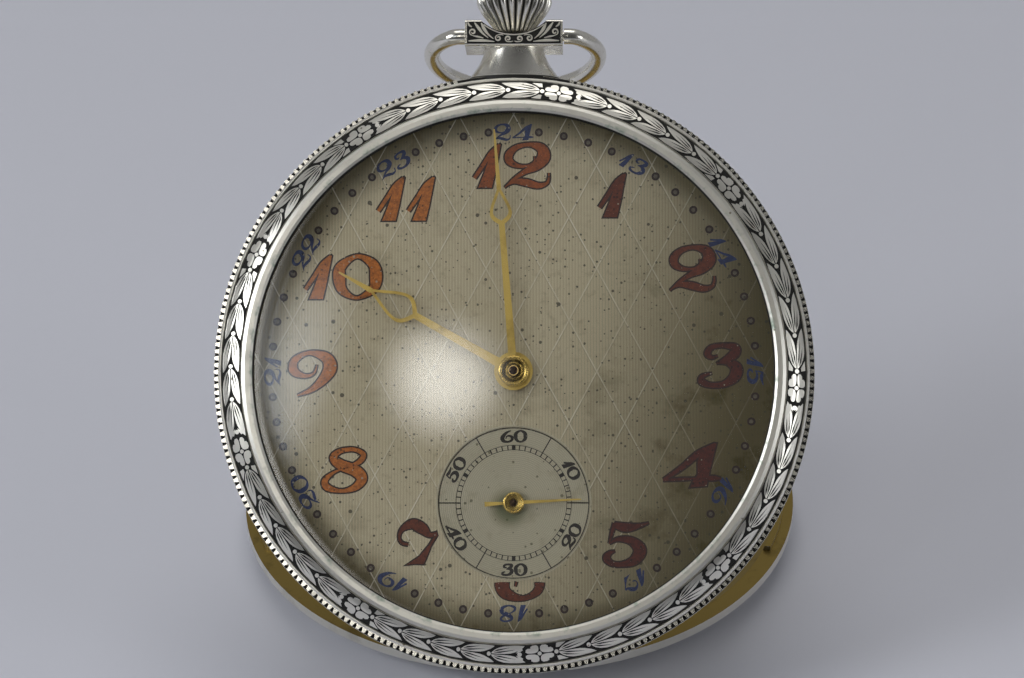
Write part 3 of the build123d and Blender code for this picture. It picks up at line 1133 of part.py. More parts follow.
def barrel_bridge():
    """Covers the barrel and the winding work."""
    split = BRIDGE_SPLIT + SEAM / 2
    face = Circle(BRIDGE_RADIUS) & (rectangle((-BRIDGE_RADIUS, BRIDGE_RADIUS), (split, BRIDGE_RADIUS))
                                    + disc_face(BARREL_BRIDGE_LOBE, BARREL))
    face -= rectangle((-WINDOW_HALF, WINDOW_HALF), (WINDING_PINION_Y - GAP, PINION_END + GAP))
    solid = bridge(face, BRIDGE_UNDER, BRIDGE_TOP)
    solid -= rod(BARREL_POST + RUNNING, BRIDGE_TOP, BRIDGE_UNDER, *BARREL)
    solid += rod(CROWN_WHEEL_CORE, WINDING_TOP, BRIDGE_TOP, *CROWN_WHEEL)
    solid -= rod(SCREW_SHANK, WINDING_TOP, BRIDGE_UNDER, *CROWN_WHEEL)
    solid -= rod(SCREW_SHANK, BRIDGE_TOP, BRIDGE_UNDER, *CLICK)
    solid -= rod(SCREW_SHANK, BRIDGE_TOP, BRIDGE_UNDER, *CLICK_SPRING_FOOT)
    solid -= rod_y(STEM_RADIUS + RUNNING, PINION_END, BRIDGE_RADIUS, PENDANT_Z)
    for x, y in barrel_bridge_screws():
        solid = screw_hole(solid, x, y, BRIDGE_TOP)
    return solid


def train_bridge():
    """Covers the going train, cut away round barrel and balance."""
    split = BRIDGE_SPLIT - SEAM / 2
    face = Circle(BRIDGE_RADIUS) & rectangle((TRAIN_BRIDGE_EDGE, BRIDGE_RADIUS), (-BRIDGE_RADIUS, split))
    face -= disc_face(BARREL_BRIDGE_LOBE + SEAM, BARREL)
    face -= disc_face(BALANCE_RADIUS + BALANCE_SCREW_LENGTH + 2 * SEAM, BALANCE)
    solid = bridge(face, BRIDGE_UNDER, BRIDGE_TOP)
    for centre in (THIRD, FOURTH, ESCAPE):
        solid = jewel_hole(solid, centre, BRIDGE_TOP)
    solid -= rod(CENTRE_PIVOT + RUNNING, BRIDGE_TOP, BRIDGE_UNDER)
    for x, y in train_bridge_screws():
        solid = screw_hole(solid, x, y, BRIDGE_TOP)
    return solid


def pallet_bridge():
    """A small cock over the pallet fork, under the balance."""
    foot = PALLET_BRIDGE_WIDTH * PALLET_FOOT_SHARE
    sunk = PALLET_BRIDGE_TOP + SMALL_SCREW_SINK
    face = lever_arm(PALLET_FOOT, PALLET, PALLET_BRIDGE_WIDTH) + disc_face(foot, PALLET_FOOT)
    solid = slab(face, PALLET_BRIDGE_TOP, PALLET_BRIDGE_UNDER)
    solid += rod(foot, PALLET_BRIDGE_UNDER, PLATE_BACK, *PALLET_FOOT)
    solid -= rod(PIVOT_RADIUS + RUNNING, PALLET_BRIDGE_TOP, PALLET_BRIDGE_UNDER, *PALLET)
    solid -= rod(SMALL_SCREW_HEAD + RUNNING, PALLET_BRIDGE_TOP, sunk, *PALLET_FOOT)
    return solid - rod(SMALL_SCREW_SHANK + RUNNING, PALLET_BRIDGE_TOP, PLATE_BACK, *PALLET_FOOT)


def balance_cock():
    """Holds the balance's back pivot, the hairspring's stud and the regulator."""
    face = (lever_arm(COCK_FOOT, BALANCE, COCK_WIDTH) + disc_face(COCK_FOOT_RADIUS, COCK_FOOT)
            + disc_face(COCK_HEAD_RADIUS, BALANCE))
    solid = slab(face, COCK_TOP, COCK_UNDER)
    solid += rod(COCK_FOOT_RADIUS, COCK_UNDER, PLATE_BACK, *COCK_FOOT)
    solid += rod(REGULATOR_BORE, REGULATOR_TOP, COCK_TOP, *BALANCE)
    solid += rod(STUD_RADIUS, COCK_UNDER, HAIRSPRING_TOP, *STUD)
    solid -= rod(JEWEL_RADIUS, REGULATOR_TOP, REGULATOR_TOP + JEWEL_THICKNESS, *BALANCE)
    solid -= rod(PIVOT_RADIUS + RUNNING, REGULATOR_TOP, COCK_UNDER, *BALANCE)
    return screw_hole(solid, *COCK_FOOT, COCK_TOP)


def barrel_bridge_screws():
    """Where the barrel bridge is screwed down."""
    return [bearing(SCREW_CIRCLE, angle) for angle in BARREL_BRIDGE_SCREW_BEARINGS]


def train_bridge_screws():
    """Where the train bridge is screwed down."""
    return [bearing(SCREW_CIRCLE, angle) for angle in TRAIN_BRIDGE_SCREW_BEARINGS]


def screw_places():
    """Every full-size screw that goes through a bridge into the plate."""
    return barrel_bridge_screws() + train_bridge_screws() + [COCK_FOOT]


def bridge_screws():
    """The sunk, slotted screws of the bridges and the cocks."""
    screws = []
    for number, (x, y) in enumerate(barrel_bridge_screws() + train_bridge_screws()):
        screws.append(sunk_screw(x, y, BRIDGE_TOP, SLOT_STEP * number))
    screws.append(sunk_screw(*COCK_FOOT, COCK_TOP, COCK_SCREW_SLOT))
    sunk = PALLET_BRIDGE_TOP + SMALL_SCREW_SINK
    head = slotted_head(SMALL_SCREW_HEAD, PALLET_BRIDGE_TOP, sunk, *PALLET_FOOT, PALLET_SCREW_SLOT)
    screws.append(head + rod(SMALL_SCREW_SHANK, sunk, PLATE_BACK, *PALLET_FOOT))
    return screws


def sunk_screw(x, y, top, turned):
    """A screw sunk in a bridge and screwed into the plate."""
    head = slotted_head(SCREW_HEAD, top, top + SCREW_HEAD_HEIGHT, x, y, turned)
    return head + rod(SCREW_SHANK, top + SCREW_HEAD_HEIGHT, PLATE_BACK + SCREW_LENGTH_IN_PLATE, x, y)


def case_screws():
    """Two screws whose heads overhang the case's ledge and clamp the movement."""
    screws = []
    for number, (x, y) in enumerate(case_screw_places()):
        turned = COCK_SCREW_SLOT + SLOT_STEP * number
        head = slotted_head(CASE_SCREW_HEAD, PLATE_BACK - SCREW_HEAD_HEIGHT, PLATE_BACK, x, y, turned)
        screws.append(head + rod(SCREW_SHANK, PLATE_BACK, PLATE_BACK + SCREW_LENGTH_IN_PLATE, x, y))
    return screws


def jewels():
    """Pierced jewels in the bridges."""
    stones = []
    holes = [(THIRD, BRIDGE_TOP), (FOURTH, BRIDGE_TOP), (ESCAPE, BRIDGE_TOP), (BALANCE, REGULATOR_TOP)]
    for centre, top in holes:
        stones.append(tube(JEWEL_RADIUS, PIVOT_RADIUS + RUNNING, top, top + JEWEL_THICKNESS, *centre))
    return stones


# ---------------------------------------------------------------- barrel and winding work

def barrel_drum():
    """The toothed drum round the mainspring."""
    drum = rod(BARREL_RADIUS, BARREL_TOP, BARREL_FLOOR)
    drum -= rod(BARREL_RADIUS - BARREL_WALL, BARREL_TOP, BARREL_FLOOR - BARREL_WALL)
    drum -= rod(BARREL_PIVOT + RUNNING, BARREL_TOP, BARREL_FLOOR)
    teeth = tooth_face(TRAIN_BARREL_TEETH, TRAIN_BARREL_MODULE, BARREL_TURNED)
    teeth -= Circle(BARREL_RADIUS - BARREL_WALL)
    drum += slab(teeth, BARREL_TEETH_LOW, BARREL_TEETH_HIGH)
    return Pos(*BARREL) * drum


def barrel_cover():
    """Snapped into the open side of the drum."""
    inside = BARREL_RADIUS - BARREL_WALL
    return tube(inside, BARREL_POST + RUNNING, BARREL_TOP, BARREL_TOP + BARREL_COVER, *BARREL)


def mainspring():
    """The coiled blade, half let down, between arbor and drum."""
    spring = blade_spiral(BARREL_CORE + MAINSPRING_BLADE, BARREL_RADIUS - BARREL_WALL - MAINSPRING_BLADE,
                          MAINSPRING_TURNS, MAINSPRING_BLADE, BARREL_TOP + BARREL_COVER + RUNNING,
                          BARREL_FLOOR - BARREL_WALL - RUNNING)
    return Pos(*BARREL) * spring


def barrel_arbor():
    """Through the barrel, with a square on its back end for the ratchet wheel."""
    half = BARREL_SQUARE / 2
    solid = rod(BARREL_PIVOT, BARREL_FLOOR - BARREL_WALL - RUNNING, BARREL_PIVOT_END)
    solid += rod(BARREL_CORE, BARREL_TOP + BARREL_COVER + RUNNING, BARREL_FLOOR - BARREL_WALL - RUNNING)
    solid += rod(BARREL_POST, BRIDGE_TOP, BARREL_TOP + BARREL_COVER + RUNNING)
    solid += block((-half, half), (-half, half), (WINDING_TOP, BRIDGE_TOP))
    solid -= rod(SCREW_SHANK, WINDING_TOP, BRIDGE_TOP)
    return Pos(*BARREL) * solid


def ratchet_wheel():
    """On the arbor's square, over the barrel bridge."""
    half = BARREL_SQUARE / 2
    solid = slab(tooth_face(RATCHET_TEETH, WINDING_MODULE, RATCHET_TURNED), WINDING_TOP, WINDING_UNDER)
    solid -= block((-half, half), (-half, half), (WINDING_TOP, WINDING_UNDER))
    return Pos(*BARREL) * solid


def crown_wheel():
    """Turns on the bridge's core, between winding pinion and ratchet wheel."""
    solid = slab(tooth_face(CROWN_WHEEL_TEETH, WINDING_MODULE, 0.0), WINDING_TOP + RUNNING, WINDING_UNDER)
    return Pos(*CROWN_WHEEL) * (solid - rod(CROWN_WHEEL_CORE + RUNNING, WINDING_TOP, WINDING_UNDER))


def cap_screw(centre, head, turned, under=None):
    """A screw whose head lies on top of a wheel."""
    under = WINDING_TOP if under is None else under
    cap = slotted_head(head, under - SCREW_HEAD_HEIGHT, under, *centre, turned)
    return cap + rod(SCREW_SHANK, under, BRIDGE_TOP, *centre)


def ratchet_screw():
    """The screw that holds the ratchet wheel on the arbor."""
    return cap_screw(BARREL, BARREL_SQUARE, RATCHET_SCREW_SLOT)


def winding_screws():
    """The screws of the crown wheel, the click and the click spring."""
    return [cap_screw(CROWN_WHEEL, CROWN_WHEEL_CORE + CROWN_SCREW_LIP, CROWN_SCREW_SLOT),
            click_pin(CLICK, CLICK_HUB * CLICK_SCREW_SHARE, CLICK_SCREW_SLOT),
            click_pin(CLICK_SPRING_FOOT, CLICK_HUB * SPRING_FOOT_SHARE, SPRING_SCREW_SLOT)]


def click_pin(centre, head, turned):
    """A screw that also reaches into the bridge."""
    cap = cap_screw(centre, head, turned, WINDING_TOP + RUNNING)
    return cap + rod(SCREW_SHANK, BRIDGE_TOP, BRIDGE_UNDER, *centre)


def click():
    """The pawl that keeps the ratchet wheel from running back."""
    x, y = CLICK
    nose = bearing(WINDING_MODULE * RATCHET_TEETH / 2 + WINDING_MODULE + GAP, CLICK_NOSE_BEARING, *BARREL)
    along = degrees(atan2(nose[1] - y, nose[0] - x))
    left = bearing(CLICK_HUB, along + 90, x, y)
    right = bearing(CLICK_HUB, along - 90, x, y)
    outer = bearing(CLICK_HUB * CLICK_NOSE_SHARE, CLICK_NOSE_BEARING, *nose)
    face = disc_face(CLICK_HUB, CLICK) + make_face(Polyline(left, right, nose, outer, close=True))
    solid = slab(face, WINDING_TOP + 2 * RUNNING, WINDING_UNDER)
    return solid - rod(SCREW_SHANK + RUNNING, WINDING_TOP, WINDING_UNDER, *CLICK)


def click_spring():
    """A bent leaf beside the click."""
    x, y = CLICK_SPRING_FOOT
    knee = (x + CLICK_SPRING_KNEE[0], y + CLICK_SPRING_KNEE[1])
    end = (x + CLICK_SPRING_END[0], y + CLICK_SPRING_END[1])
    face = disc_face(CLICK_HUB * SPRING_FOOT_SHARE, CLICK_SPRING_FOOT)
    face += lever_arm(CLICK_SPRING_FOOT, knee, SPRING_WIDTH) + lever_arm(knee, end, SPRING_WIDTH)
    solid = slab(face, WINDING_TOP + RUNNING, BRIDGE_TOP)
    return solid - rod(SCREW_SHANK, WINDING_TOP, BRIDGE_TOP, *CLICK_SPRING_FOOT)


# ---------------------------------------------------------------- going train and escapement

def train_wheel(centre, wheel, wheel_low, pinion, pinion_low, pinion_high, post):
    """A wheel and its pinion on one arbor, with pivots in plate and bridge."""
    solid = slab(wheel, wheel_low, wheel_low + WHEEL_THICKNESS) + slab(pinion, pinion_low, pinion_high)
    solid += rod(post, BRIDGE_UNDER + RUNNING, PLATE_BACK - RUNNING)
    solid += rod(PIVOT_RADIUS, BRIDGE_TOP + RUNNING, PIVOT_END - RUNNING)
    return Pos(*centre) * solid


def centre_wheel():
    """Once an hour; its post carries the cannon pinion through the dial."""
    rim = CENTRE_MODULE * CENTRE_TEETH / 2 * CENTRE_RIM_SHARE
    outline = tooth_face(CENTRE_TEETH, CENTRE_MODULE, CENTRE_TURNED)
    wheel = spoked(outline, CENTRE_HUB, rim, SLOW_WHEEL_SPOKES)
    solid = slab(wheel, CENTRE_LOW, CENTRE_LOW + WHEEL_THICKNESS)
    pinion = tooth_face(CENTRE_PINION_TEETH, TRAIN_BARREL_MODULE, CENTRE_TURNED)
    solid += slab(pinion, BARREL_TOP + GAP, PLATE_BACK - RUNNING)
    solid += rod(CENTRE_POST * CENTRE_ARBOR_SHARE, BRIDGE_UNDER + RUNNING, PLATE_BACK - RUNNING)
    solid += rod(CENTRE_POST, PLATE_BACK - RUNNING, MINUTE_HAND_Z + HAND_THICKNESS + CENTRE_POST)
    return solid + rod(CENTRE_PIVOT, BRIDGE_TOP + RUNNING, BRIDGE_UNDER + RUNNING)


def third_wheel():
    """Between the centre and the fourth wheel."""
    rim = THIRD_MODULE * THIRD_TEETH / 2 * WHEEL_RIM_SHARE
    outline = tooth_face(THIRD_TEETH, THIRD_MODULE, THIRD_TURNED)
    wheel = spoked(outline, THIRD_HUB, rim, SLOW_WHEEL_SPOKES, THIRD_SPOKE_TURN)
    pinion = tooth_face(THIRD_PINION_TEETH, CENTRE_MODULE, THIRD_TURNED)
    pinion_end = CENTRE_LOW + WHEEL_THICKNESS + GAP
    return train_wheel(THIRD, wheel, THIRD_LOW, pinion, CENTRE_LOW - GAP, pinion_end, THIRD_ARBOR)


def fourth_wheel():
    """Once a minute; its long front pivot carries the seconds hand."""
    rim = FOURTH_MODULE * FOURTH_TEETH / 2 * WHEEL_RIM_SHARE
    outline = tooth_face(FOURTH_TEETH, FOURTH_MODULE, FOURTH_TURNED)
    wheel = spoked(outline, WHEEL_HUB, rim, WHEEL_SPOKES, FOURTH_SPOKE_TURN)
    pinion = tooth_face(FOURTH_PINION_TEETH, THIRD_MODULE, FOURTH_TURNED)
    pinion_ends = (THIRD_LOW - GAP, PLATE_BACK - RUNNING)
    solid = train_wheel(FOURTH, wheel, FOURTH_LOW, pinion, *pinion_ends, FOURTH_ARBOR)
    return solid + rod(SECONDS_PIPE, PLATE_BACK - RUNNING, SECONDS_HAND_Z + HAND_THICKNESS, *FOURTH)


def escape_wheel():
    """Fifteen club teeth."""
    points = []
    pitch = 360 / ESCAPE_TEETH
    for tooth in range(ESCAPE_TEETH):
        start = tooth * pitch
        for share, lead in CLUB_TOOTH:
            points.append(bearing(ESCAPE_RADIUS * share, start + lead * pitch))
    outline = make_face(Polyline(*points, close=True))
    rim = ESCAPE_RADIUS * ESCAPE_RIM_SHARE
    wheel = spoked(outline, ESCAPE_HUB, rim, WHEEL_SPOKES, ESCAPE_SPOKE_TURN)
    pinion = tooth_face(ESCAPE_PINION_TEETH, FOURTH_MODULE, ESCAPE_TURNED)
    pinion_end = FOURTH_LOW + WHEEL_THICKNESS + GAP
    return train_wheel(ESCAPE, wheel, FORK_LOW, pinion, FOURTH_LOW - GAP, pinion_end, ESCAPE_ARBOR)


def pallet_fork():
    """The lever between escape wheel and balance, with its two stones clear of the teeth."""
    pivot = (pallet_reach, 0.0)
    stone_inner = ESCAPE_RADIUS + PALLET_CLEARANCE
    stone_length = ESCAPE_RADIUS * STONE_LENGTH_SHARE
    face = disc_face(FORK_HUB, pivot)
    for side in (-PALLET_SPREAD, PALLET_SPREAD):
        middle = bearing(stone_inner + stone_length / 2, side)
        held = bearing(stone_inner + stone_length * STONE_GRIP, side)
        face += Pos(*middle) * Rot(0, 0, side) * Rectangle(stone_length, STONE_WIDTH)
        face += lever_arm(pivot, held, PALLET_ARM_WIDTH)
    end = pallet_reach + fork_length
    face += lever_arm(pivot, (end - FORK_LEVER_SHORT, 0), FORK_LEVER_WIDTH)
    horns = rectangle((end - FORK_HORN_LENGTH, end), (-FORK_HORN_HALF, FORK_HORN_HALF))
    face += horns - rectangle((end - FORK_NOTCH_DEPTH, end), (-FORK_NOTCH_HALF, FORK_NOTCH_HALF))
    solid = slab(face, FORK_LOW, FORK_LOW + WHEEL_THICKNESS)
    solid += rod(FORK_ARBOR, FORK_LOW, PLATE_BACK - RUNNING, *pivot)
    solid += rod(PIVOT_RADIUS, PALLET_BRIDGE_TOP + RUNNING, PIVOT_END - RUNNING, *pivot)
    return Pos(*ESCAPE) * Rot(0, 0, escapement_bearing) * solid


def balance_wheel():
    """The ring that swings, with two arms."""
    ring = Circle(BALANCE_RADIUS) - Circle(BALANCE_RADIUS - BALANCE_RIM)
    arms = Rot(0, 0, BALANCE_ARM_ANGLE) * Rectangle(
        2 * (BALANCE_RADIUS - BALANCE_RIM / 2), SPOKE_WIDTH * BALANCE_ARM_SHARE)
    solid = slab(ring, BALANCE_TOP - BALANCE_HEIGHT, BALANCE_TOP)
    sunk = BALANCE_HEIGHT * BALANCE_ARM_SUNK
    solid += slab(arms + Circle(BALANCE_HUB), BALANCE_TOP - BALANCE_HEIGHT + sunk, BALANCE_TOP - sunk)
    return Pos(*BALANCE) * (solid - rod(STAFF_RADIUS, BALANCE_TOP - BALANCE_HEIGHT, BALANCE_TOP))


def balance_screws():
    """Timing screws round the rim."""
    level = BALANCE_TOP - BALANCE_HEIGHT / 2
    thick = BALANCE_HEIGHT * BALANCE_SCREW_SHARE
    head = rod_x(thick, BALANCE_RADIUS, BALANCE_RADIUS + BALANCE_SCREW_LENGTH, 0, level)
    step = 360 / BALANCE_SCREW_COUNT
    return [Pos(*BALANCE) * Rot(0, 0, BALANCE_ARM_ANGLE + step / 4 + number * step) * head
            for number in range(BALANCE_SCREW_COUNT)]


def balance_staff():
    """The balance's arbor with its roller and the jewel that works the fork."""
    solid = rod(STAFF_RADIUS, HAIRSPRING_LOW, ROLLER_TOP + ROLLER_THICKNESS)
    solid += rod(ROLLER_RADIUS, ROLLER_TOP, ROLLER_TOP + ROLLER_THICKNESS)
    solid += rod(PIVOT_RADIUS, REGULATOR_TOP + RUNNING, PIVOT_END - RUNNING)
    solid += rod(ROLLER_JEWEL, ROLLER_TOP + ROLLER_THICKNESS, FORK_LOW + WHEEL_THICKNESS,
                 *bearing(ROLLER_JEWEL_REACH, escapement_bearing + 180))
    collet = tube(HAIRSPRING_INNER - HAIRSPRING_BLADE / 2, STAFF_RADIUS / 2, HAIRSPRING_LOW, HAIRSPRING_TOP)
    return Pos(*BALANCE) * (solid + collet)


def hairspring():
    """The flat spiral that swings the balance back."""
    spring = blade_spiral(HAIRSPRING_INNER, HAIRSPRING_OUTER, HAIRSPRING_TURNS, HAIRSPRING_BLADE,
                          HAIRSPRING_LOW, HAIRSPRING_TOP)
    return Pos(*BALANCE) * Rot(0, 0, cock_bearing) * spring


def regulator():
    """Turned on the cock by its long tail to set the rate."""
    tail = bearing(REGULATOR_TAIL, REGULATOR_BEARING)
    face = Circle(REGULATOR_BORE + REGULATOR_RING) + lever_arm((0, 0), tail, REGULATOR_TAIL_WIDTH)
    face += disc_face(REGULATOR_TIP, tail)
    solid = slab(face, REGULATOR_TOP, COCK_TOP) - rod(REGULATOR_BORE + RUNNING, REGULATOR_TOP, COCK_TOP)
    return Pos(*BALANCE) * solid


# ---------------------------------------------------------------- build every piece

os.makedirs("parts", exist_ok=True)

for maker in (case_middle, pendant, pendant_sleeve, bow, crown, winding_stem, bezel, crystal, back_hinge_pin,
              case_screws, dial, dial_screws, hour_hand, minute_hand, seconds_hand, cannon_pinion, hour_wheel,
              minute_wheel, setting_wheel, winding_pinion, clutch_wheel, setting_lever, clutch_lever,
              clutch_lever_spring, main_plate, barrel_bridge, train_bridge, pallet_bridge, balance_cock,
              bridge_screws, jewels, barrel_drum, barrel_cover, mainspring, barrel_arbor, ratchet_wheel,
              ratchet_screw, crown_wheel, winding_screws, click, click_spring, centre_wheel, third_wheel,
              fourth_wheel, escape_wheel, pallet_fork, balance_wheel, balance_screws, balance_staff,
              hairspring, regulator):
    leaning(maker.__name__, maker())
lying("back_cover", back_cover())

for name, (shape, place) in pieces.items():
    solids = shape if isinstance(shape, list) else [shape]
    placed = [place * solid for part in solids for solid in part.solids()]
    export_step(placed[0] if len(placed) == 1 else Compound(placed), f"parts/{name}.step")
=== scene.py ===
# %% [markdown]
# # A pocket watch that leans on its open back
#
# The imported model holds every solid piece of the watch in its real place. This lesson dresses it: it gives
# each piece a finish, prints and engraves what the solids leave plain, and lights the result. Blender counts
# in metres. The lengths below are in millimetres unless a comment says otherwise.

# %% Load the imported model
import json
from math import asin, cos, pi, radians, sin

import bpy
from mathutils import Matrix, Vector


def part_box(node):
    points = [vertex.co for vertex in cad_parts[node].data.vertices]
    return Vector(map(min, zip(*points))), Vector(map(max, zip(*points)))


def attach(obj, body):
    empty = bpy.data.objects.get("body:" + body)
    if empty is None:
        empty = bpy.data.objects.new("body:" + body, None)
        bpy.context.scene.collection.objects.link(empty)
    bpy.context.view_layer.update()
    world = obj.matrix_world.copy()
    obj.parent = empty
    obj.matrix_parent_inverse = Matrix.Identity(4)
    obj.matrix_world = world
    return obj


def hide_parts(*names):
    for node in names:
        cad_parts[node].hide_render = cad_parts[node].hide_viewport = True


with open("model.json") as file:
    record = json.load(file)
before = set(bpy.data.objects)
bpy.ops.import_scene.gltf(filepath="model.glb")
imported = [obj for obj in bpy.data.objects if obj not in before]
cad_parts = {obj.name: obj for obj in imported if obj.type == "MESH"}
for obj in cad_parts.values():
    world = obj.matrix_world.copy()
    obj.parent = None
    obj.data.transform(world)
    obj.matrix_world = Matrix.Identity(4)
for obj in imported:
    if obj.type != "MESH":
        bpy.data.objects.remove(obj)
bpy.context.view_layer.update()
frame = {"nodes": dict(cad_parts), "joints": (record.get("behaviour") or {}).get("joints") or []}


# %% [markdown]
# ## The watch's own directions
#
# The case leans back, so nothing on it is square to the world. It is easier to draw each piece flat on the
# workbench, with X to 3 o'clock, Y to 12 o'clock and Z out of the dial, and to move it onto the watch with
# one matrix. The minute hand's joint tells where the dial's centre is and which way the dial faces.

# %% The matrix from the bench to the watch
MM = 0.001


def joint_named(name):
    """One joint of the frame."""
    return next(joint for joint in frame["joints"] if joint["name"] == name)


minute_joint = joint_named("minute_turn")
dial_normal = Vector(minute_joint["axis"]).normalized()
to_three = Vector((1, 0, 0))
to_twelve = dial_normal.cross(to_three)
dial_centre = Vector(minute_joint["pos_m"])
WATCH = Matrix((to_three, to_twelve, dial_normal)).transposed().to_4x4()
WATCH.translation = dial_centre
print("the dial leans back by", round(90 - WATCH.to_euler().x * 180 / pi, 1), "degrees from upright")

# %% [markdown]
# ## Small helpers for modelling
#
# An operator works on everything that is selected, and loading leaves the CAD pieces selected, so each new
# piece starts with nothing selected. A finished piece keeps its object at the origin and its place in its
# mesh.

# %% Helpers for new pieces
def clear_selection():
    """Nothing selected, in object mode."""
    if bpy.context.object and bpy.context.object.mode != "OBJECT":
        bpy.ops.object.mode_set(mode="OBJECT")
    bpy.ops.object.select_all(action="DESELECT")


def select_only(piece):
    """One piece selected and active."""
    clear_selection()
    piece.select_set(True)
    bpy.context.view_layer.objects.active = piece


def edit_all(piece):
    """Edit mode with the piece's whole mesh selected."""
    select_only(piece)
    bpy.ops.object.mode_set(mode="EDIT")
    bpy.ops.mesh.select_all(action="SELECT")


def end_edit():
    bpy.ops.object.mode_set(mode="OBJECT")


def link_new(name, data):
    """A new object in the scene."""
    made = bpy.data.objects.new(name, data)
    bpy.context.scene.collection.objects.link(made)
    return made


def join(name, pieces):
    """Join several mesh objects into one and name it."""
    clear_selection()
    for piece in pieces:
        piece.select_set(True)
    bpy.context.view_layer.objects.active = pieces[0]
    bpy.ops.object.join()
    pieces[0].name = name
    pieces[0].data.name = name
    return pieces[0]


def copy_of(piece, matrix):
    """A copy with a mesh of its own, moved by a matrix."""
    twin = piece.copy()
    twin.data = piece.data.copy()
    bpy.context.scene.collection.objects.link(twin)
    twin.data.transform(matrix)
    return twin


def onto_watch(piece, body, material):
    """Move a finished piece from the bench onto the leaning watch and let it ride on a body."""
    select_only(piece)
    bpy.ops.object.transform_apply(location=True, rotation=True, scale=True)
    piece.data.transform(WATCH)
    piece.data.materials.clear()
    piece.data.materials.append(material)
    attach(piece, body)
    return piece


# %% [markdown]
# ## Camera
#
# The camera looks almost straight at the dial, a little from the 6 o'clock side, through a long lens, so the
# round case stays round. Its axes are given in the watch's own directions.

# %% Camera
DISTANCE, ASIDE, RAISED = 300.0, -0.15, 2.75      # from the dial's centre
TILT, SWING = radians(-4.9), radians(1.2)
PIXELS_PER_MM, PICTURE_WIDTH = 12.01, 1024        # at the dial
SENSOR_WIDTH = 36

camera_back = Vector((cos(TILT) * sin(SWING), sin(TILT), cos(TILT) * cos(SWING)))
camera_right = Vector((cos(SWING), 0, -sin(SWING)))
camera_up = camera_back.cross(camera_right)
aim = Matrix((camera_right, camera_up, camera_back)).transposed()
bench_camera = aim.to_4x4()
bench_camera.translation = aim @ (Vector((ASIDE, RAISED, DISTANCE)) * MM)

camera = link_new("camera", bpy.data.cameras.new("camera"))
camera.data.sensor_width = SENSOR_WIDTH
camera.data.lens = PIXELS_PER_MM * DISTANCE * SENSOR_WIDTH / PICTURE_WIDTH
camera.matrix_world = WATCH @ bench_camera
bpy.context.scene.camera = camera
print("lens", round(camera.data.lens, 1), "mm")

# %% [markdown]
# ## Light
#
# Polished silver only looks like silver when it has something to mirror. Large soft panels give it broad pale
# reflections, and the gaps between them give the dark ones. A panel glows most in its middle and fades to its
# edges, so that the glass shows no hard squares.

# %% Soft panels
def facing_dial(place):
    """The turn that makes something at a place look at the dial."""
    return (dial_centre - Vector(place)).to_track_quat("-Z", "Y")


def soft_box(name, place, size, strength, colour):
    """A glowing panel. Its place is in mm in the watch's directions, its size in m. Only its light shows."""
    place = WATCH @ (Vector(place) * MM)
    clear_selection()
    bpy.ops.mesh.primitive_plane_add(size=1.0, location=(0, 0, 0))
    box = bpy.context.object
    box.name = name
    turn = facing_dial(place).to_matrix().to_4x4()
    box.data.transform(Matrix.Translation(place) @ turn @ Matrix.Diagonal((*size, 1, 1)))
    glow = bpy.data.materials.new(name)
    glow.use_nodes = True
    tree = glow.node_tree
    tree.nodes.clear()
    shape = tree.nodes.new("ShaderNodeUVMap")
    from_middle = tree.nodes.new("ShaderNodeVectorMath")
    from_middle.operation = "DISTANCE"
    from_middle.inputs[1].default_value = (0.5, 0.5, 0)
    fade = tree.nodes.new("ShaderNodeMapRange")
    fade.interpolation_type = "SMOOTHERSTEP"
    fade.inputs["From Min"].default_value = 0.5
    fade.inputs["From Max"].default_value = 0.0
    fade.inputs["To Max"].default_value = strength
    light = tree.nodes.new("ShaderNodeEmission")
    light.inputs["Color"].default_value = (*colour, 1)
    output = tree.nodes.new("ShaderNodeOutputMaterial")
    tree.links.new(shape.outputs["UV"], from_middle.inputs[0])
    tree.links.new(from_middle.outputs["Value"], fade.inputs["Value"])
    tree.links.new(fade.outputs[0], light.inputs["Strength"])
    tree.links.new(light.outputs[0], output.inputs["Surface"])
    box.data.materials.append(glow)
    box.visible_camera = False


soft_box("window_left", (-470, 110, 310), (0.40, 0.54), 7.6, (0.93, 0.96, 1.0))
soft_box("lamp_above_camera", (-100, 34, 600), (0.21, 0.21), 6.1, (1.0, 0.985, 0.94))
soft_box("window_right", (460, -30, 250), (0.28, 0.54), 4.2, (0.95, 0.97, 1.0))
soft_box("window_in_the_glass", (-300, 30, 560), (0.17, 0.46), 2.2, (0.84, 0.91, 1.0))

# %% Ceiling lamp
CEILING_PLACE, CEILING_SIZE = (0.0, 0.25, 0.75), (0.6, 0.4)      # m
CEILING_POWER, CEILING_COLOUR = 1.4, (1.0, 0.99, 0.97)
ceiling = link_new("ceiling", bpy.data.lights.new("ceiling", "AREA"))
ceiling.data.shape = "RECTANGLE"
ceiling.data.size, ceiling.data.size_y = CEILING_SIZE
ceiling.data.energy = CEILING_POWER
ceiling.data.color = CEILING_COLOUR
ceiling.location = CEILING_PLACE
ceiling.rotation_euler = facing_dial(CEILING_PLACE).to_euler()
print("ceiling lamp:", CEILING_POWER, "W")

# %% [markdown]
# ## Room and floor
#
# The room is dark behind the camera and paler behind the watch, as it is round a table by a window. The floor
# is a plain pale grey-blue.

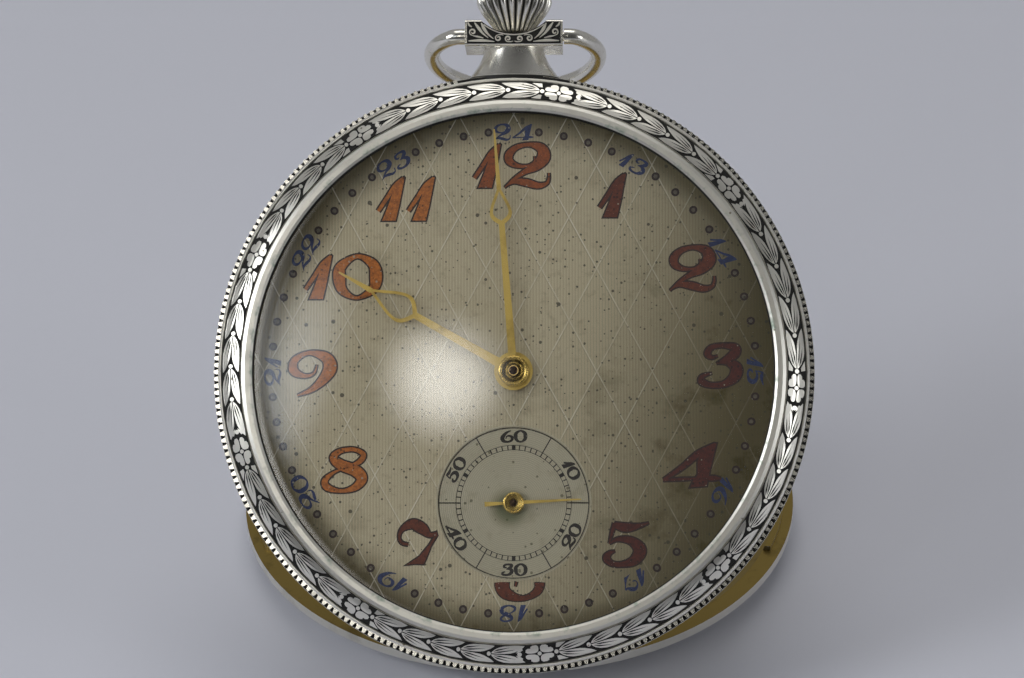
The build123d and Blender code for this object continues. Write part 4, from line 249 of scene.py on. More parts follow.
# %% Room
ROOM_COLOUR, DARK_SIDE, PALE_SIDE = (0.84, 0.85, 0.88), 0.06, 0.34
ROOM_DARK_AT, ROOM_PALE_AT = -0.75, 0.35          # share of the way from front to back
world = bpy.data.worlds.new("studio")
bpy.context.scene.world = world
world.use_nodes = True
sky = world.node_tree
direction = sky.nodes.new("ShaderNodeTexCoord")
split_direction = sky.nodes.new("ShaderNodeSeparateXYZ")
shade = sky.nodes.new("ShaderNodeMapRange")
shade.interpolation_type = "SMOOTHSTEP"
shade.inputs["From Min"].default_value = ROOM_DARK_AT
shade.inputs["From Max"].default_value = ROOM_PALE_AT
shade.inputs["To Min"].default_value = DARK_SIDE
shade.inputs["To Max"].default_value = PALE_SIDE
sky.links.new(direction.outputs["Generated"], split_direction.inputs[0])
sky.links.new(split_direction.outputs["Y"], shade.inputs["Value"])
sky.links.new(shade.outputs[0], sky.nodes["Background"].inputs["Strength"])
sky.nodes["Background"].inputs["Color"].default_value = (*ROOM_COLOUR, 1)
bpy.context.scene.view_settings.view_transform = "Standard"

# %% Floor
FLOOR_RADIUS, FLOOR_DROP = 1.6, 0.0001            # m
FLOOR_COLOUR, FLOOR_ROUGHNESS = (0.66, 0.668, 0.735), 0.7
clear_selection()
bpy.ops.mesh.primitive_circle_add(vertices=96, radius=FLOOR_RADIUS, fill_type="NGON",
                                  location=(0, 0, -FLOOR_DROP))
floor = bpy.context.object
floor.name = "floor"
floor_paint = bpy.data.materials.new("pale_table")
floor_paint.use_nodes = True
paint = floor_paint.node_tree.nodes["Principled BSDF"]
paint.inputs["Base Color"].default_value = (*FLOOR_COLOUR, 1)
paint.inputs["Roughness"].default_value = FLOOR_ROUGHNESS
floor.data.materials.append(floor_paint)

# %% [markdown]
# ## Materials: a few helpers
#
# Every finish reads Object coordinates through a Mapping node that turns them into the watch's own
# millimetres. So a pattern can be drawn by its distance from the dial's centre, as the maker's lathe did.

# %% Helpers for nodes
def node(tree, kind, **settings):
    """Add a node and set its properties."""
    made = tree.nodes.new(kind)
    for name, value in settings.items():
        setattr(made, name, value)
    return made


def wire(tree, source, target):
    tree.links.new(source, target)


def calc(tree, operation, first, second=None, clamp=False):
    """A Math node. An operand is a number or another node's output."""
    made = node(tree, "ShaderNodeMath", operation=operation, use_clamp=clamp)
    for socket, value in zip(made.inputs, (first, second)):
        if isinstance(value, (int, float)):
            socket.default_value = value
        elif value is not None:
            wire(tree, value, socket)
    return made.outputs[0]


def product(tree, first, *others):
    """Several masks multiplied."""
    for other in others:
        first = calc(tree, "MULTIPLY", first, other)
    return first


def rising(tree, mask, start, rise):
    """A value that starts somewhere and rises, or falls, as a mask goes from 0 to 1."""
    return calc(tree, "ADD", product(tree, mask, rise), start)


def axes(tree, place):
    """The three numbers of a place."""
    split = node(tree, "ShaderNodeSeparateXYZ")
    wire(tree, place, split.inputs[0])
    return split.outputs["X"], split.outputs["Y"], split.outputs["Z"]


def radius_from(tree, place, centre=(0.0, 0.0)):
    """Distance in mm from an axis that stands on the dial."""
    x, y = axes(tree, place)[:2]
    across = calc(tree, "SUBTRACT", x, centre[0])
    along = calc(tree, "SUBTRACT", y, centre[1])
    squares = calc(tree, "ADD", product(tree, across, across), product(tree, along, along))
    return calc(tree, "SQRT", squares)


# %% Helpers for masks and colours
def above(tree, value, low, high):
    """A mask: 0 below low, 1 above high, with a smooth ramp between."""
    ramp = node(tree, "ShaderNodeMapRange", interpolation_type="SMOOTHSTEP")
    wire(tree, value, ramp.inputs["Value"])
    ramp.inputs["From Min"].default_value = low
    ramp.inputs["From Max"].default_value = high
    return ramp.outputs["Result"]


def below(tree, value, low, high):
    """A mask: 1 below low, 0 above high."""
    return calc(tree, "SUBTRACT", 1.0, above(tree, value, low, high), clamp=True)


def between(tree, value, low, high, soft):
    """A mask: 1 between two values and 0 outside them."""
    rise = above(tree, value, low - soft, low + soft)
    fall = above(tree, value, high - soft, high + soft)
    return calc(tree, "SUBTRACT", rise, fall, clamp=True)


def blend_colours(tree, mask, under, over, share=1.0):
    """Lay one colour over another by a share of a mask. A colour is a triple or another node's output."""
    mix = node(tree, "ShaderNodeMix", data_type="RGBA")
    wire(tree, mask if share == 1.0 else product(tree, mask, share), mix.inputs["Factor"])
    for socket, colour in ((mix.inputs[6], under), (mix.inputs[7], over)):
        if isinstance(colour, tuple):
            socket.default_value = (*colour, 1)
        else:
            wire(tree, colour, socket)
    return mix.outputs[2]


def darker(colour, share):
    """A colour taken down to a share of its light."""
    return tuple(share * c for c in colour)


# %% Helpers for whole materials
def new_material(name, metallic, roughness, colour, centre=WATCH):
    """A material with its tree, its Principled shader and the place on the watch in mm."""
    material = bpy.data.materials.new(name)
    material.use_nodes = True
    tree = material.node_tree
    shader = tree.nodes["Principled BSDF"]
    shader.inputs["Metallic"].default_value = metallic
    shader.inputs["Roughness"].default_value = roughness
    shader.inputs["Base Color"].default_value = (*colour, 1)
    coordinates = node(tree, "ShaderNodeTexCoord")
    mapping = node(tree, "ShaderNodeMapping", vector_type="TEXTURE")
    mapping.inputs["Location"].default_value = centre.translation
    mapping.inputs["Rotation"].default_value = centre.to_euler()
    mapping.inputs["Scale"].default_value = (MM, MM, MM)
    wire(tree, coordinates.outputs["Object"], mapping.inputs["Vector"])
    return material, tree, shader, mapping.outputs["Vector"]


def bump(tree, shader, height, strength, distance):
    """Feed a height to the shader's normal. The distance is in mm."""
    made = node(tree, "ShaderNodeBump")
    made.inputs["Strength"].default_value = strength
    made.inputs["Distance"].default_value = distance * MM
    wire(tree, height, made.inputs["Height"])
    wire(tree, made.outputs["Normal"], shader.inputs["Normal"])


# %% [markdown]
# ### Shared effects
#
# Patina, pits and fine scratches show on every old metal piece, each time at another strength. Each is a node
# group with named inputs, built once. A group only works out masks and heights; the shaders stay in the
# materials.

# %% A helper for node groups
def new_group(name, numbers, result):
    """A node group with a Place, some numbers with their usual values, and one result."""
    group = bpy.data.node_groups.new(name, "ShaderNodeTree")
    group.interface.new_socket("Place", in_out="INPUT", socket_type="NodeSocketVector")
    for number, usual in numbers.items():
        made = group.interface.new_socket(number, in_out="INPUT", socket_type="NodeSocketFloat")
        made.default_value = usual
    group.interface.new_socket(result, in_out="OUTPUT", socket_type="NodeSocketFloat")
    return group, node(group, "NodeGroupInput"), node(group, "NodeGroupOutput")


def divided_place(group, given, number):
    """The group's Place divided by one of its numbers."""
    scaled = node(group, "ShaderNodeVectorMath", operation="SCALE")
    wire(group, given.outputs["Place"], scaled.inputs[0])
    wire(group, calc(group, "DIVIDE", 1.0, given.outputs[number]), scaled.inputs["Scale"])
    return scaled.outputs[0]


def noise_at(group, place, detail, roughness=0.5):
    """A Noise node that reads a place. Its size is set by its Scale input."""
    noise = node(group, "ShaderNodeTexNoise")
    noise.inputs["Detail"].default_value = detail
    noise.inputs["Roughness"].default_value = roughness
    wire(group, place, noise.inputs["Vector"])
    return noise


# %% Patina, pits and scratches
def build_patina():
    """Soft blotches of several sizes, from 0 to 1."""
    contrast, bare_below, sink = 4.0, 0.75, 0.4      # more cover sinks the level below which it stays bare
    group, given, result = new_group("patina", {"Size": 4.0, "Cover": 0.5}, "Mask")
    noise = noise_at(group, divided_place(group, given, "Size"), 6.0, 0.62)
    noise.inputs["Scale"].default_value = 1.0
    low = rising(group, given.outputs["Cover"], bare_below, -sink)
    mask = calc(group, "MULTIPLY", calc(group, "SUBTRACT", noise.outputs["Fac"], low), contrast, clamp=True)
    wire(group, mask, result.inputs["Mask"])
    return group


def build_pits():
    """Small round dark specks, scattered unevenly: few cells hold a large one."""
    unevenness, sharpness = 3.0, 30.0
    group, given, result = new_group("pits", {"Spacing": 1.0, "Size": 0.12}, "Mask")
    cells = node(group, "ShaderNodeTexVoronoi", feature="F1")
    cells.inputs["Scale"].default_value = 1.0
    wire(group, divided_place(group, given, "Spacing"), cells.inputs["Vector"])
    chance = node(group, "ShaderNodeSeparateColor")
    wire(group, cells.outputs["Color"], chance.inputs[0])
    reach = product(group, given.outputs["Size"], calc(group, "POWER", chance.outputs[0], unevenness))
    inside = calc(group, "SUBTRACT", reach, cells.outputs["Distance"])
    wire(group, calc(group, "MULTIPLY", inside, sharpness, clamp=True), result.inputs["Mask"])
    return group


def build_scratches():
    """Hairlines in two directions, as a height: noise stretched into threads."""
    group, given, result = new_group("scratches", {"Fineness": 1.0}, "Height")
    heights = []
    for turn in (0.6, 2.3):
        mapping = node(group, "ShaderNodeMapping")
        mapping.inputs["Rotation"].default_value = (0.2, 0.3, turn)
        mapping.inputs["Scale"].default_value = (0.35, 9.0, 9.0)
        wire(group, given.outputs["Place"], mapping.inputs["Vector"])
        noise = noise_at(group, mapping.outputs["Vector"], 3.0)
        wire(group, given.outputs["Fineness"], noise.inputs["Scale"])
        heights.append(above(group, noise.outputs["Fac"], 0.62, 0.75))
    wire(group, calc(group, "MAXIMUM", *heights), result.inputs["Height"])
    return group


PATINA, PITS, SCRATCHES = build_patina(), build_pits(), build_scratches()


def use_group(tree, group, place, **values):
    """Place a shared effect in a material with its own values."""
    made = node(tree, "ShaderNodeGroup", node_tree=group)
    wire(tree, place, made.inputs["Place"])
    for name, value in values.items():
        made.inputs[name].default_value = value
    return made.outputs[0]


def patina(tree, place, size, cover):
    return use_group(tree, PATINA, place, Size=size, Cover=cover)


def pits(tree, place, spacing, size):
    return use_group(tree, PITS, place, Spacing=spacing, Size=size)


def scratch(tree, shader, place, fineness, strength):
    """Hairlines cut a hundredth of a millimetre deep."""
    bump(tree, shader, use_group(tree, SCRATCHES, place, Fineness=fineness), strength, 0.01)


print("node groups:", [group.name for group in bpy.data.node_groups])

# %% [markdown]
# ### Case metal
#
# The case is nickel silver: a warm, slightly yellow white metal. Handling has polished what stands proud and
# has left brown-grey tarnish in what lies low. One recipe makes it, and each piece adds its own low places.

# %% The recipe for silver
SILVER, DULL_SILVER = (0.78, 0.755, 0.68), (0.56, 0.52, 0.42)
TARNISH, OXIDE, VERDIGRIS = (0.20, 0.17, 0.11), (0.010, 0.009, 0.007), (0.05, 0.20, 0.10)


def silver(name, low_places=None, green_places=None, roughness=0.24, tarnish=1.0):
    """Worn nickel silver. The two functions return masks of blackened and of green places."""
    material, tree, shader, place = new_material(name, 1.0, roughness, SILVER)
    blotches = patina(tree, place, 3.0, 0.55)
    fine = patina(tree, place, 0.6, 0.35)
    colour = blend_colours(tree, blotches, SILVER, DULL_SILVER, 0.30 * tarnish)
    colour = blend_colours(tree, fine, colour, TARNISH, 0.35 * tarnish)
    colour = blend_colours(tree, pits(tree, place, 0.9, 0.16), colour, TARNISH, 0.8)
    rough = rising(tree, blotches, roughness, 0.16)
    if green_places:
        green = product(tree, green_places(tree, place), patina(tree, place, 1.3, 0.55))
        colour = blend_colours(tree, green, colour, VERDIGRIS)
        rough = rising(tree, green, rough, 0.4)
    if low_places:
        low = low_places(tree, place)
        colour = blend_colours(tree, low, colour, OXIDE)
        rough = rising(tree, low, rough, 0.35)
        wire(tree, rising(tree, low, 1.0, -0.8), shader.inputs["Metallic"])
    wire(tree, colour, shader.inputs["Base Color"])
    wire(tree, rough, shader.inputs["Roughness"])
    scratch(tree, shader, place, 1.4, 0.12)
    return material


# %% Low places of the bezel and the coin edge
GROUND_INNER, GROUND_OUTER = 22.66, 24.235        # the blackened ground of the engraved band
GLASS_LINE = (21.60, 21.68)                       # the dark line round the glass fades between these
STAIN_INNER, STAIN_OUTER = 21.5, 22.0
REED_LOW, REED_HIGH, LEDGE_LOW, LEDGE_HIGH = -0.40, 0.56, -0.42, -0.32
NOTCH_FLOOR, REED_TOP = 24.74, 24.86
FLANK = (24.50, 24.56)                            # what lies outside this belongs to the coin edge


def bezel_low_places(tree, place):
    """The ground of the engraved band and the line round the glass."""
    radius = radius_from(tree, place)
    ground = between(tree, radius, GROUND_INNER, GROUND_OUTER, 0.015)
    return calc(tree, "MAXIMUM", ground, below(tree, radius, *GLASS_LINE))


def bezel_green_places(tree, place):
    """Green collects beside the glass."""
    return product(tree, between(tree, radius_from(tree, place), STAIN_INNER, STAIN_OUTER, 0.25), 0.85)


def reed_low_places(tree, place):
    """The notches between the reeds of the coin edge, down to the ledge behind them."""
    radius = radius_from(tree, place)
    z = axes(tree, place)[2]
    depth = between(tree, z, REED_LOW, REED_HIGH, 0.02)
    notches = product(tree, depth, below(tree, radius, NOTCH_FLOOR, REED_TOP))
    ledge = between(tree, z, LEDGE_LOW, LEDGE_HIGH, 0.01)
    return product(tree, calc(tree, "MAXIMUM", notches, ledge), above(tree, radius, *FLANK))


# %% Low places of the pendant, and all silver finishes
NECK_JOINT, HEAD_LOW, HEAD_HALF = 24.98, 27.62, 3.95
STEM_AXIS = -2.4          # height of the stem, the head's middle and the crown, from the dial's back
HEAD_SKIN = 2.46          # from the head's middle to just under its faces


def neck_low_places(tree, place):
    """The joint between the neck and the case, and the engraved faces of the head."""
    x, y, z = axes(tree, place)
    joint = below(tree, y, NECK_JOINT, NECK_JOINT + 0.12)
    depth = calc(tree, "ABSOLUTE", calc(tree, "SUBTRACT", z, STEM_AXIS))
    face = above(tree, depth, HEAD_SKIN, HEAD_SKIN + 0.02)
    over_edge = above(tree, y, HEAD_LOW, HEAD_LOW + 0.03)
    inside = below(tree, calc(tree, "ABSOLUTE", x), HEAD_HALF - 0.03, HEAD_HALF)
    return calc(tree, "MAXIMUM", joint, product(tree, face, over_edge, inside))


worn_silver = silver("worn_silver")
neck_silver = silver("neck_silver", neck_low_places)
case_silver = silver("case_silver", reed_low_places)
bezel_silver = silver("bezel_silver", bezel_low_places, bezel_green_places, roughness=0.36)
leaf_silver = silver("leaf_silver", roughness=0.30, tarnish=0.2)
bow_silver = silver("bow_silver", roughness=0.22, tarnish=1.9)
print("silver finishes ready")

# %% [markdown]
# ### Gilt, plain and inside the back cover
#
# The back cover is silver outside and gilt inside, and both are one solid. Gold was laid on the whole inner
# dish up to the rim, so the finish is chosen by place: what faces up inside the rim is gilt.

# %% Plain gilt
HAND_GOLD, HAND_DULL = (0.55, 0.40, 0.115), (0.16, 0.10, 0.03)
BRASS_GOLD, BRASS_DULL = (0.72, 0.52, 0.20), (0.45, 0.30, 0.11)


def gilt(name, colour, dull, roughness):
    """Gilt brass with a duller bloom in blotches."""
    material, tree, shader, place = new_material(name, 1.0, roughness, colour)
    blotches = patina(tree, place, 2.2, 0.6)
    wire(tree, blend_colours(tree, blotches, colour, dull, 0.6), shader.inputs["Base Color"])
    wire(tree, rising(tree, blotches, roughness, 0.15), shader.inputs["Roughness"])
    scratch(tree, shader, place, 1.8, 0.15)
    return material


hand_gold = gilt("hand_gold", HAND_GOLD, HAND_DULL, 0.42)
gilt_brass = gilt("gilt_brass", BRASS_GOLD, BRASS_DULL, 0.28)

# %% Inside and outside of the back cover
COVER_REACH = 24.15                     # from the hinge to the middle of the cover
COVER_FLANGE = 24.75                    # radius where the gilt ends and the silver rim starts
COVER_GOLD, COVER_BLOOM = (0.29, 0.205, 0.055), (0.09, 0.062, 0.02)
hinge_place = Vector(joint_named("back_cover_hinge")["pos_m"])
cover_centre = Matrix.Translation(hinge_place + Vector((0, COVER_REACH, 0)) * MM)


def back_cover_metal(name):
    """Gilt in the dish, silver outside and on the rim."""
    material, tree, shader, place = new_material(name, 1.0, 0.3, SILVER, cover_centre)
    coordinates = node(tree, "ShaderNodeTexCoord")
    faces_up = calc(tree, "GREATER_THAN", axes(tree, coordinates.outputs["Normal"])[2], 0.02)
    in_dish = below(tree, radius_from(tree, place), COVER_FLANGE - 0.2, COVER_FLANGE)
    blotches = patina(tree, place, 3.0, 0.5)
    worn = blend_colours(tree, blotches, SILVER, TARNISH, 0.4)
    gold = blend_colours(tree, blotches, COVER_GOLD, COVER_BLOOM)
    colour = blend_colours(tree, product(tree, faces_up, in_dish), worn, gold)
    wire(tree, colour, shader.inputs["Base Color"])
    scratch(tree, shader, place, 1.2, 0.2)
    return material


back_cover_finish = back_cover_metal("back_cover_metal")

# %% [markdown]
# ### Dial
#
# The dial is silvered brass with fine upright lines from an engine-turning lathe, crossed by slightly
# brighter lines that make long diamonds, each with a painted shadow beside it. Silvering ages to a warm
# grey-brown. Painted shade darkens the rim under the bezel's edge, where tarnish lies too, and the 3 o'clock
# side, where less light falls and the bright lines fade.

# %% Dial silver: its tones and lines
SECONDS_CENTRE = (0.0, -10.9)
DIAL_LIGHT, DIAL_DARK = (0.47, 0.41, 0.275), (0.054, 0.040, 0.004)
DIAL_GREY, DIAL_GROOVE, DIAL_SPECK = (0.115, 0.10, 0.055), (0.07, 0.06, 0.035), (0.05, 0.045, 0.03)
CUT_BRIGHT, CUT_SHADOW = (0.72, 0.68, 0.56), (0.10, 0.085, 0.05)
DIAMOND_PITCH, DIAMOND_SLOPE = 8.6, 1.87
CUT_WIDTH, SHADOW_WIDTH, SHADOW_SHIFT = 0.13, 0.11, 0.22
UPRIGHT_PITCH = 0.25
WAVE_AT_ONE_MM = 0.314                  # scale at which a wave repeats once in a millimetre
# The rim gets painted shade under the bezel's edge together with tarnish; the 3 o'clock side gets painted
# shade.
RIM_STARTS, RIM_ENDS = 18.2, 21.4
SIDE_STARTS, SIDE_ENDS, SIDE_LEAN = 0.5, 21.0, 0.25


def stripes(tree, value, pitch, width):
    """Thin lines of a given width at a given pitch, as a mask."""
    phase = calc(tree, "FRACT", calc(tree, "DIVIDE", value, pitch))
    off = calc(tree, "ABSOLUTE", calc(tree, "SUBTRACT", phase, 0.5))
    return below(tree, off, width / pitch / 2, width / pitch)


def diamonds(tree, across, along, width, shift):
    """Two sets of slanting lines that cross, moved down by a shift."""
    slope = product(tree, across, DIAMOND_SLOPE)
    climbing = calc(tree, "ADD", calc(tree, "ADD", slope, along), shift)
    falling = calc(tree, "SUBTRACT", calc(tree, "SUBTRACT", slope, along), shift)
    return calc(tree, "MAXIMUM", stripes(tree, climbing, DIAMOND_PITCH, width),
                stripes(tree, falling, DIAMOND_PITCH, width))


def dial_darkness(tree, place, across, along):
    """Painted shade and tarnish at the rim, painted shade on the 3 o'clock side, and tarnish in blotches."""
    rim = above(tree, radius_from(tree, place), RIM_STARTS, RIM_ENDS)
    low_right = calc(tree, "SUBTRACT", across, product(tree, along, SIDE_LEAN))
    side = above(tree, low_right, SIDE_STARTS, SIDE_ENDS)
    dark = calc(tree, "MAXIMUM", product(tree, rim, 0.8), product(tree, side, 0.92))
    blotches = product(tree, patina(tree, place, 5.0, 0.5), 0.4)
    return calc(tree, "ADD", dark, blotches, clamp=True), side


# %% Dial silver
def dial_silver_material():
    """Silvering with upright lines, diamonds, blotches and specks."""
    material, tree, shader, place = new_material("dial_silver", 0.4, 0.48, DIAL_LIGHT)
    across, along = axes(tree, place)[:2]
    uprights = node(tree, "ShaderNodeTexWave", wave_type="BANDS", bands_direction="X", wave_profile="SIN")
    uprights.inputs["Scale"].default_value = WAVE_AT_ONE_MM / UPRIGHT_PITCH
    uprights.inputs["Distortion"].default_value = 0.35
    uprights.inputs["Detail"].default_value = 1.0
    wire(tree, place, uprights.inputs["Vector"])
    fine = uprights.outputs["Fac"]
    cuts = diamonds(tree, across, along, CUT_WIDTH, 0.0)
    shadows = diamonds(tree, across, along, SHADOW_WIDTH, SHADOW_SHIFT)
    worn = rising(tree, patina(tree, place, 3.5, 0.75), 0.4, 0.6)
    specks = calc(tree, "MAXIMUM", pits(tree, place, 0.75, 0.26), pits(tree, place, 0.33, 0.34))
    dark, side = dial_darkness(tree, place, across, along)
    # Painted shade and tarnish take the silvering towards DIAL_DARK.
    colour = blend_colours(tree, dark, DIAL_LIGHT, DIAL_DARK)
    colour = blend_colours(tree, patina(tree, place, 0.6, 0.5), colour, DIAL_GREY, 0.45)
    colour = blend_colours(tree, fine, colour, DIAL_GROOVE, 0.24)
    colour = blend_colours(tree, product(tree, shadows, worn), colour, CUT_SHADOW, 0.38)
    # The bright cuts are painted fainter on the 3 o'clock side, as part of its painted shade.
    shown = product(tree, worn, rising(tree, side, 0.60, -0.50))
    colour = blend_colours(tree, product(tree, cuts, shown), colour, CUT_BRIGHT)
    colour = blend_colours(tree, specks, colour, DIAL_SPECK, 0.85)
    wire(tree, colour, shader.inputs["Base Color"])
    bump(tree, shader, calc(tree, "ADD", fine, product(tree, cuts, 0.6)), 0.35, 0.02)
    return material


dial_finish = dial_silver_material()

# %% Silver of the small seconds dial
FLOOR_BASE, FLOOR_LIGHT, FLOOR_BLOTCH = (0.42, 0.40, 0.33), (0.42, 0.385, 0.275), (0.24, 0.215, 0.13)
FLOOR_SPECK, FLOOR_RING, FLOOR_GREEN = (0.09, 0.08, 0.04), (0.12, 0.11, 0.09), (0.085, 0.10, 0.035)
RING_PITCH, RING_WIDTH = 0.16, 0.07
HUB_STAIN, HUB_STAIN_FADE = (SECONDS_CENTRE[0] - 0.35, SECONDS_CENTRE[1] - 0.45), (0.6, 2.1)


def seconds_floor_silver():
    """The small seconds dial: paler, with a lathe's rings, specks and a green stain round its hub."""
    material, tree, shader, place = new_material("seconds_silver", 0.4, 0.5, FLOOR_BASE)
    rings = stripes(tree, radius_from(tree, place, SECONDS_CENTRE), RING_PITCH, RING_WIDTH)
    stain = below(tree, radius_from(tree, place, HUB_STAIN), *HUB_STAIN_FADE)
    colour = blend_colours(tree, patina(tree, place, 1.6, 0.5), FLOOR_LIGHT, FLOOR_BLOTCH, 0.6)
    colour = blend_colours(tree, pits(tree, place, 0.5, 0.3), colour, FLOOR_SPECK, 0.7)
    colour = blend_colours(tree, rings, colour, FLOOR_RING, 0.22)
    colour = blend_colours(tree, stain, colour, FLOOR_GREEN, 0.75)
    wire(tree, colour, shader.inputs["Base Color"])
    bump(tree, shader, rings, 0.3, 0.02)
    return material


seconds_finish = seconds_floor_silver()

# %% [markdown]
# ### The movement
#
# The movement is on show because the back is open. Plates and bridges are nickelled, with broad stripes from
# a turning disc. Steel wheels have a spiral polish, screws and springs are heated until they turn blue, and
# the bearings are rubies.

# %% Nickelled plates
NICKEL, STRIPE_LOW, STRIPE_HIGH = (0.74, 0.72, 0.66), (0.62, 0.59, 0.52), (0.82, 0.80, 0.75)
STRIPE_PITCH, STRIPE_ANGLE = 2.2, 0.5
PEARL, PEARL_HIGH, PEARL_LOW = (0.72, 0.69, 0.62), (0.78, 0.75, 0.68), (0.52, 0.49, 0.42)


def striped_nickel(name):
    """Nickel with broad stripes, each with a painted sheen on one side, and the fine arcs of the disc."""
    material, tree, shader, place = new_material(name, 1.0, 0.26, NICKEL)
    x, y = axes(tree, place)[:2]
    slope = calc(tree, "ADD", product(tree, x, cos(STRIPE_ANGLE)), product(tree, y, sin(STRIPE_ANGLE)))
    phase = calc(tree, "FRACT", calc(tree, "DIVIDE", slope, STRIPE_PITCH))
    arcs = node(tree, "ShaderNodeTexWave", wave_type="RINGS", rings_direction="Z")
    arcs.inputs["Scale"].default_value = 2.5
    wire(tree, place, arcs.inputs["Vector"])
    # Dark to bright across each stripe: a painted sheen for the light that the cut catches.
    wire(tree, blend_colours(tree, phase, STRIPE_LOW, STRIPE_HIGH), shader.inputs["Base Color"])
    wire(tree, rising(tree, phase, 0.2, 0.16), shader.inputs["Roughness"])
    bump(tree, shader, rising(tree, arcs.outputs["Fac"], phase, 0.15), 0.35, 0.03)
    return material


def pearled_nickel(name):
    """The main plate: small overlapping polished circles, each with a painted sheen in its middle."""
    material, tree, shader, place = new_material(name, 1.0, 0.3, PEARL)
    circles = node(tree, "ShaderNodeTexVoronoi", feature="F1")
    circles.inputs["Scale"].default_value = 0.9
    circles.inputs["Randomness"].default_value = 0.12
    wire(tree, place, circles.inputs["Vector"])
    # Bright in each circle's middle, darker at its edge: a painted sheen on the real pattern of circles.
    colour = blend_colours(tree, circles.outputs["Distance"], PEARL_HIGH, PEARL_LOW)
    wire(tree, colour, shader.inputs["Base Color"])
    bump(tree, shader, circles.outputs["Distance"], 0.5, 0.04)
    return material


bridge_nickel, plate_nickel = striped_nickel("bridge_nickel"), pearled_nickel("plate_nickel")

# %% Steel, ruby and glass
BRIGHT_STEEL, BLUE_STEEL = (0.60, 0.61, 0.63), (0.03, 0.06, 0.30)
RUBY_RED, RUBY_PINK, CLEAR = (0.55, 0.02, 0.07), (0.75, 0.08, 0.16), (1, 1, 1)


def steel(name, colour, roughness, polish_marks=0.15):
    """Polished steel with a few duller places."""
    material, tree, shader, place = new_material(name, 1.0, roughness, colour)
    blotches = patina(tree, place, 1.2, 0.4)
    shaded = blend_colours(tree, blotches, colour, darker(colour, 0.6), 0.35)
    wire(tree, shaded, shader.inputs["Base Color"])
    wire(tree, rising(tree, blotches, roughness, 0.12), shader.inputs["Roughness"])
    scratch(tree, shader, place, 2.0, polish_marks)
    return material


def ruby_stone(name):
    """A polished red stone, paler where it is hazy."""
    material, tree, shader, place = new_material(name, 0.0, 0.08, RUBY_RED)
    colour = blend_colours(tree, patina(tree, place, 0.5, 0.6), RUBY_RED, RUBY_PINK)
    wire(tree, colour, shader.inputs["Base Color"])
    shader.inputs["Coat Weight"].default_value = 0.6
    return material


def clear_glass(name):
    """Old glass: clear, with faint wear. Shadow rays pass, so the dial below is lit."""
    material, tree, shader, place = new_material(name, 0.0, 0.03, CLEAR)
    shader.inputs["Transmission Weight"].default_value = 1.0
    shader.inputs["IOR"].default_value = 1.5
    wire(tree, rising(tree, patina(tree, place, 4.0, 0.3), 0.01, 0.03), shader.inputs["Roughness"])
    scratch(tree, shader, place, 1.0, 0.03)
    path = node(tree, "ShaderNodeLightPath")
    clear = node(tree, "ShaderNodeBsdfTransparent")
    mix = node(tree, "ShaderNodeMixShader")
    wire(tree, path.outputs["Is Shadow Ray"], mix.inputs[0])
    wire(tree, shader.outputs[0], mix.inputs[1])
    wire(tree, clear.outputs[0], mix.inputs[2])
    wire(tree, mix.outputs[0], tree.nodes["Material Output"].inputs["Surface"])
    return material


polished_steel = steel("polished_steel", BRIGHT_STEEL, 0.22)
spiral_steel = steel("spiral_steel", BRIGHT_STEEL, 0.25, polish_marks=0.45)
blued_steel = steel("blued_steel", BLUE_STEEL, 0.2)
ruby, crystal_glass = ruby_stone("ruby"), clear_glass("crystal_glass")
print("finishes so far:", len(bpy.data.materials))

# %% [markdown]
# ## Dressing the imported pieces
#
# Most solids already have the right shape and only need their finish. A table says which node takes which
# one.

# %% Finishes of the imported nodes
FINISHES = {
    case_silver: "case_middle",
    neck_silver: "pendant",
    worn_silver: "pendant_sleeve crown back_hinge_pin",
    bow_silver: "bow",
    bezel_silver: "bezel",
    back_cover_finish: "back_cover",
    dial_finish: "dial",
    crystal_glass: "crystal",
    hand_gold: "hour_hand minute_hand seconds_hand",
    plate_nickel: "main_plate",
    bridge_nickel: "barrel_bridge train_bridge pallet_bridge balance_cock",
    gilt_brass: "barrel_drum barrel_cover centre_wheel third_wheel fourth_wheel hour_wheel minute_wheel "
                "balance_wheel balance_screws",
    spiral_steel: "ratchet_wheel crown_wheel",
    polished_steel: "case_screws clutch_lever_spring click_spring winding_stem winding_pinion clutch_wheel "
                    "setting_lever clutch_lever barrel_arbor click cannon_pinion setting_wheel mainspring "
                    "escape_wheel pallet_fork balance_staff regulator",
    blued_steel: "dial_screws bridge_screws winding_screws ratchet_screw hairspring",
    ruby: "jewels",
}
dressed = set()
for finish, names in FINISHES.items():
    for name in names.split():
        piece = frame["nodes"][name]
        piece.data.materials.clear()
        piece.data.materials.append(finish)
        dressed.add(name)
print("nodes without a finish:", sorted(set(frame["nodes"]) - dressed))

# %% [markdown]
# ## Printing on the dial
#
# The numerals are enamel, transferred onto the dial: a dark outline first and the coloured body over it. No
# font has these swelling italic figures, so each is drawn as a few strokes. A stroke is a smooth line that
# has a width of its own at every point, like a pen that is pressed more or less.

# %% Smooth strokes
DIAL_TOP, SECONDS_FLOOR = 0.40, 0.28       # heights above the dial's back
INK = 0.012                                # thickness of one layer of enamel
THINNEST = 0.006                           # half width of the finest line, as a share of the figure's height


def smooth_line(points, closed=False, steps=7):
    """Points on a smooth curve through the given points, the width or any third number smoothed with them."""
    count = len(points)
    result = []
    for index in range(count if closed else count - 1):
        around = [index + shift for shift in (-1, 0, 1, 2)]
        knots = [points[i % count] if closed else points[min(max(i, 0), count - 1)] for i in around]
        for step in range(steps):
            t = step / steps
            weights = (-0.5 * t + t * t - 0.5 * t ** 3, 1 - 2.5 * t * t + 1.5 * t ** 3,
                       0.5 * t + 2 * t * t - 1.5 * t ** 3, -0.5 * t * t + 0.5 * t ** 3)
            result.append([sum(w * knot[axis] for w, knot in zip(weights, knots)) for axis in range(3)])
    if not closed:
        result.append(list(points[-1]))
    return result


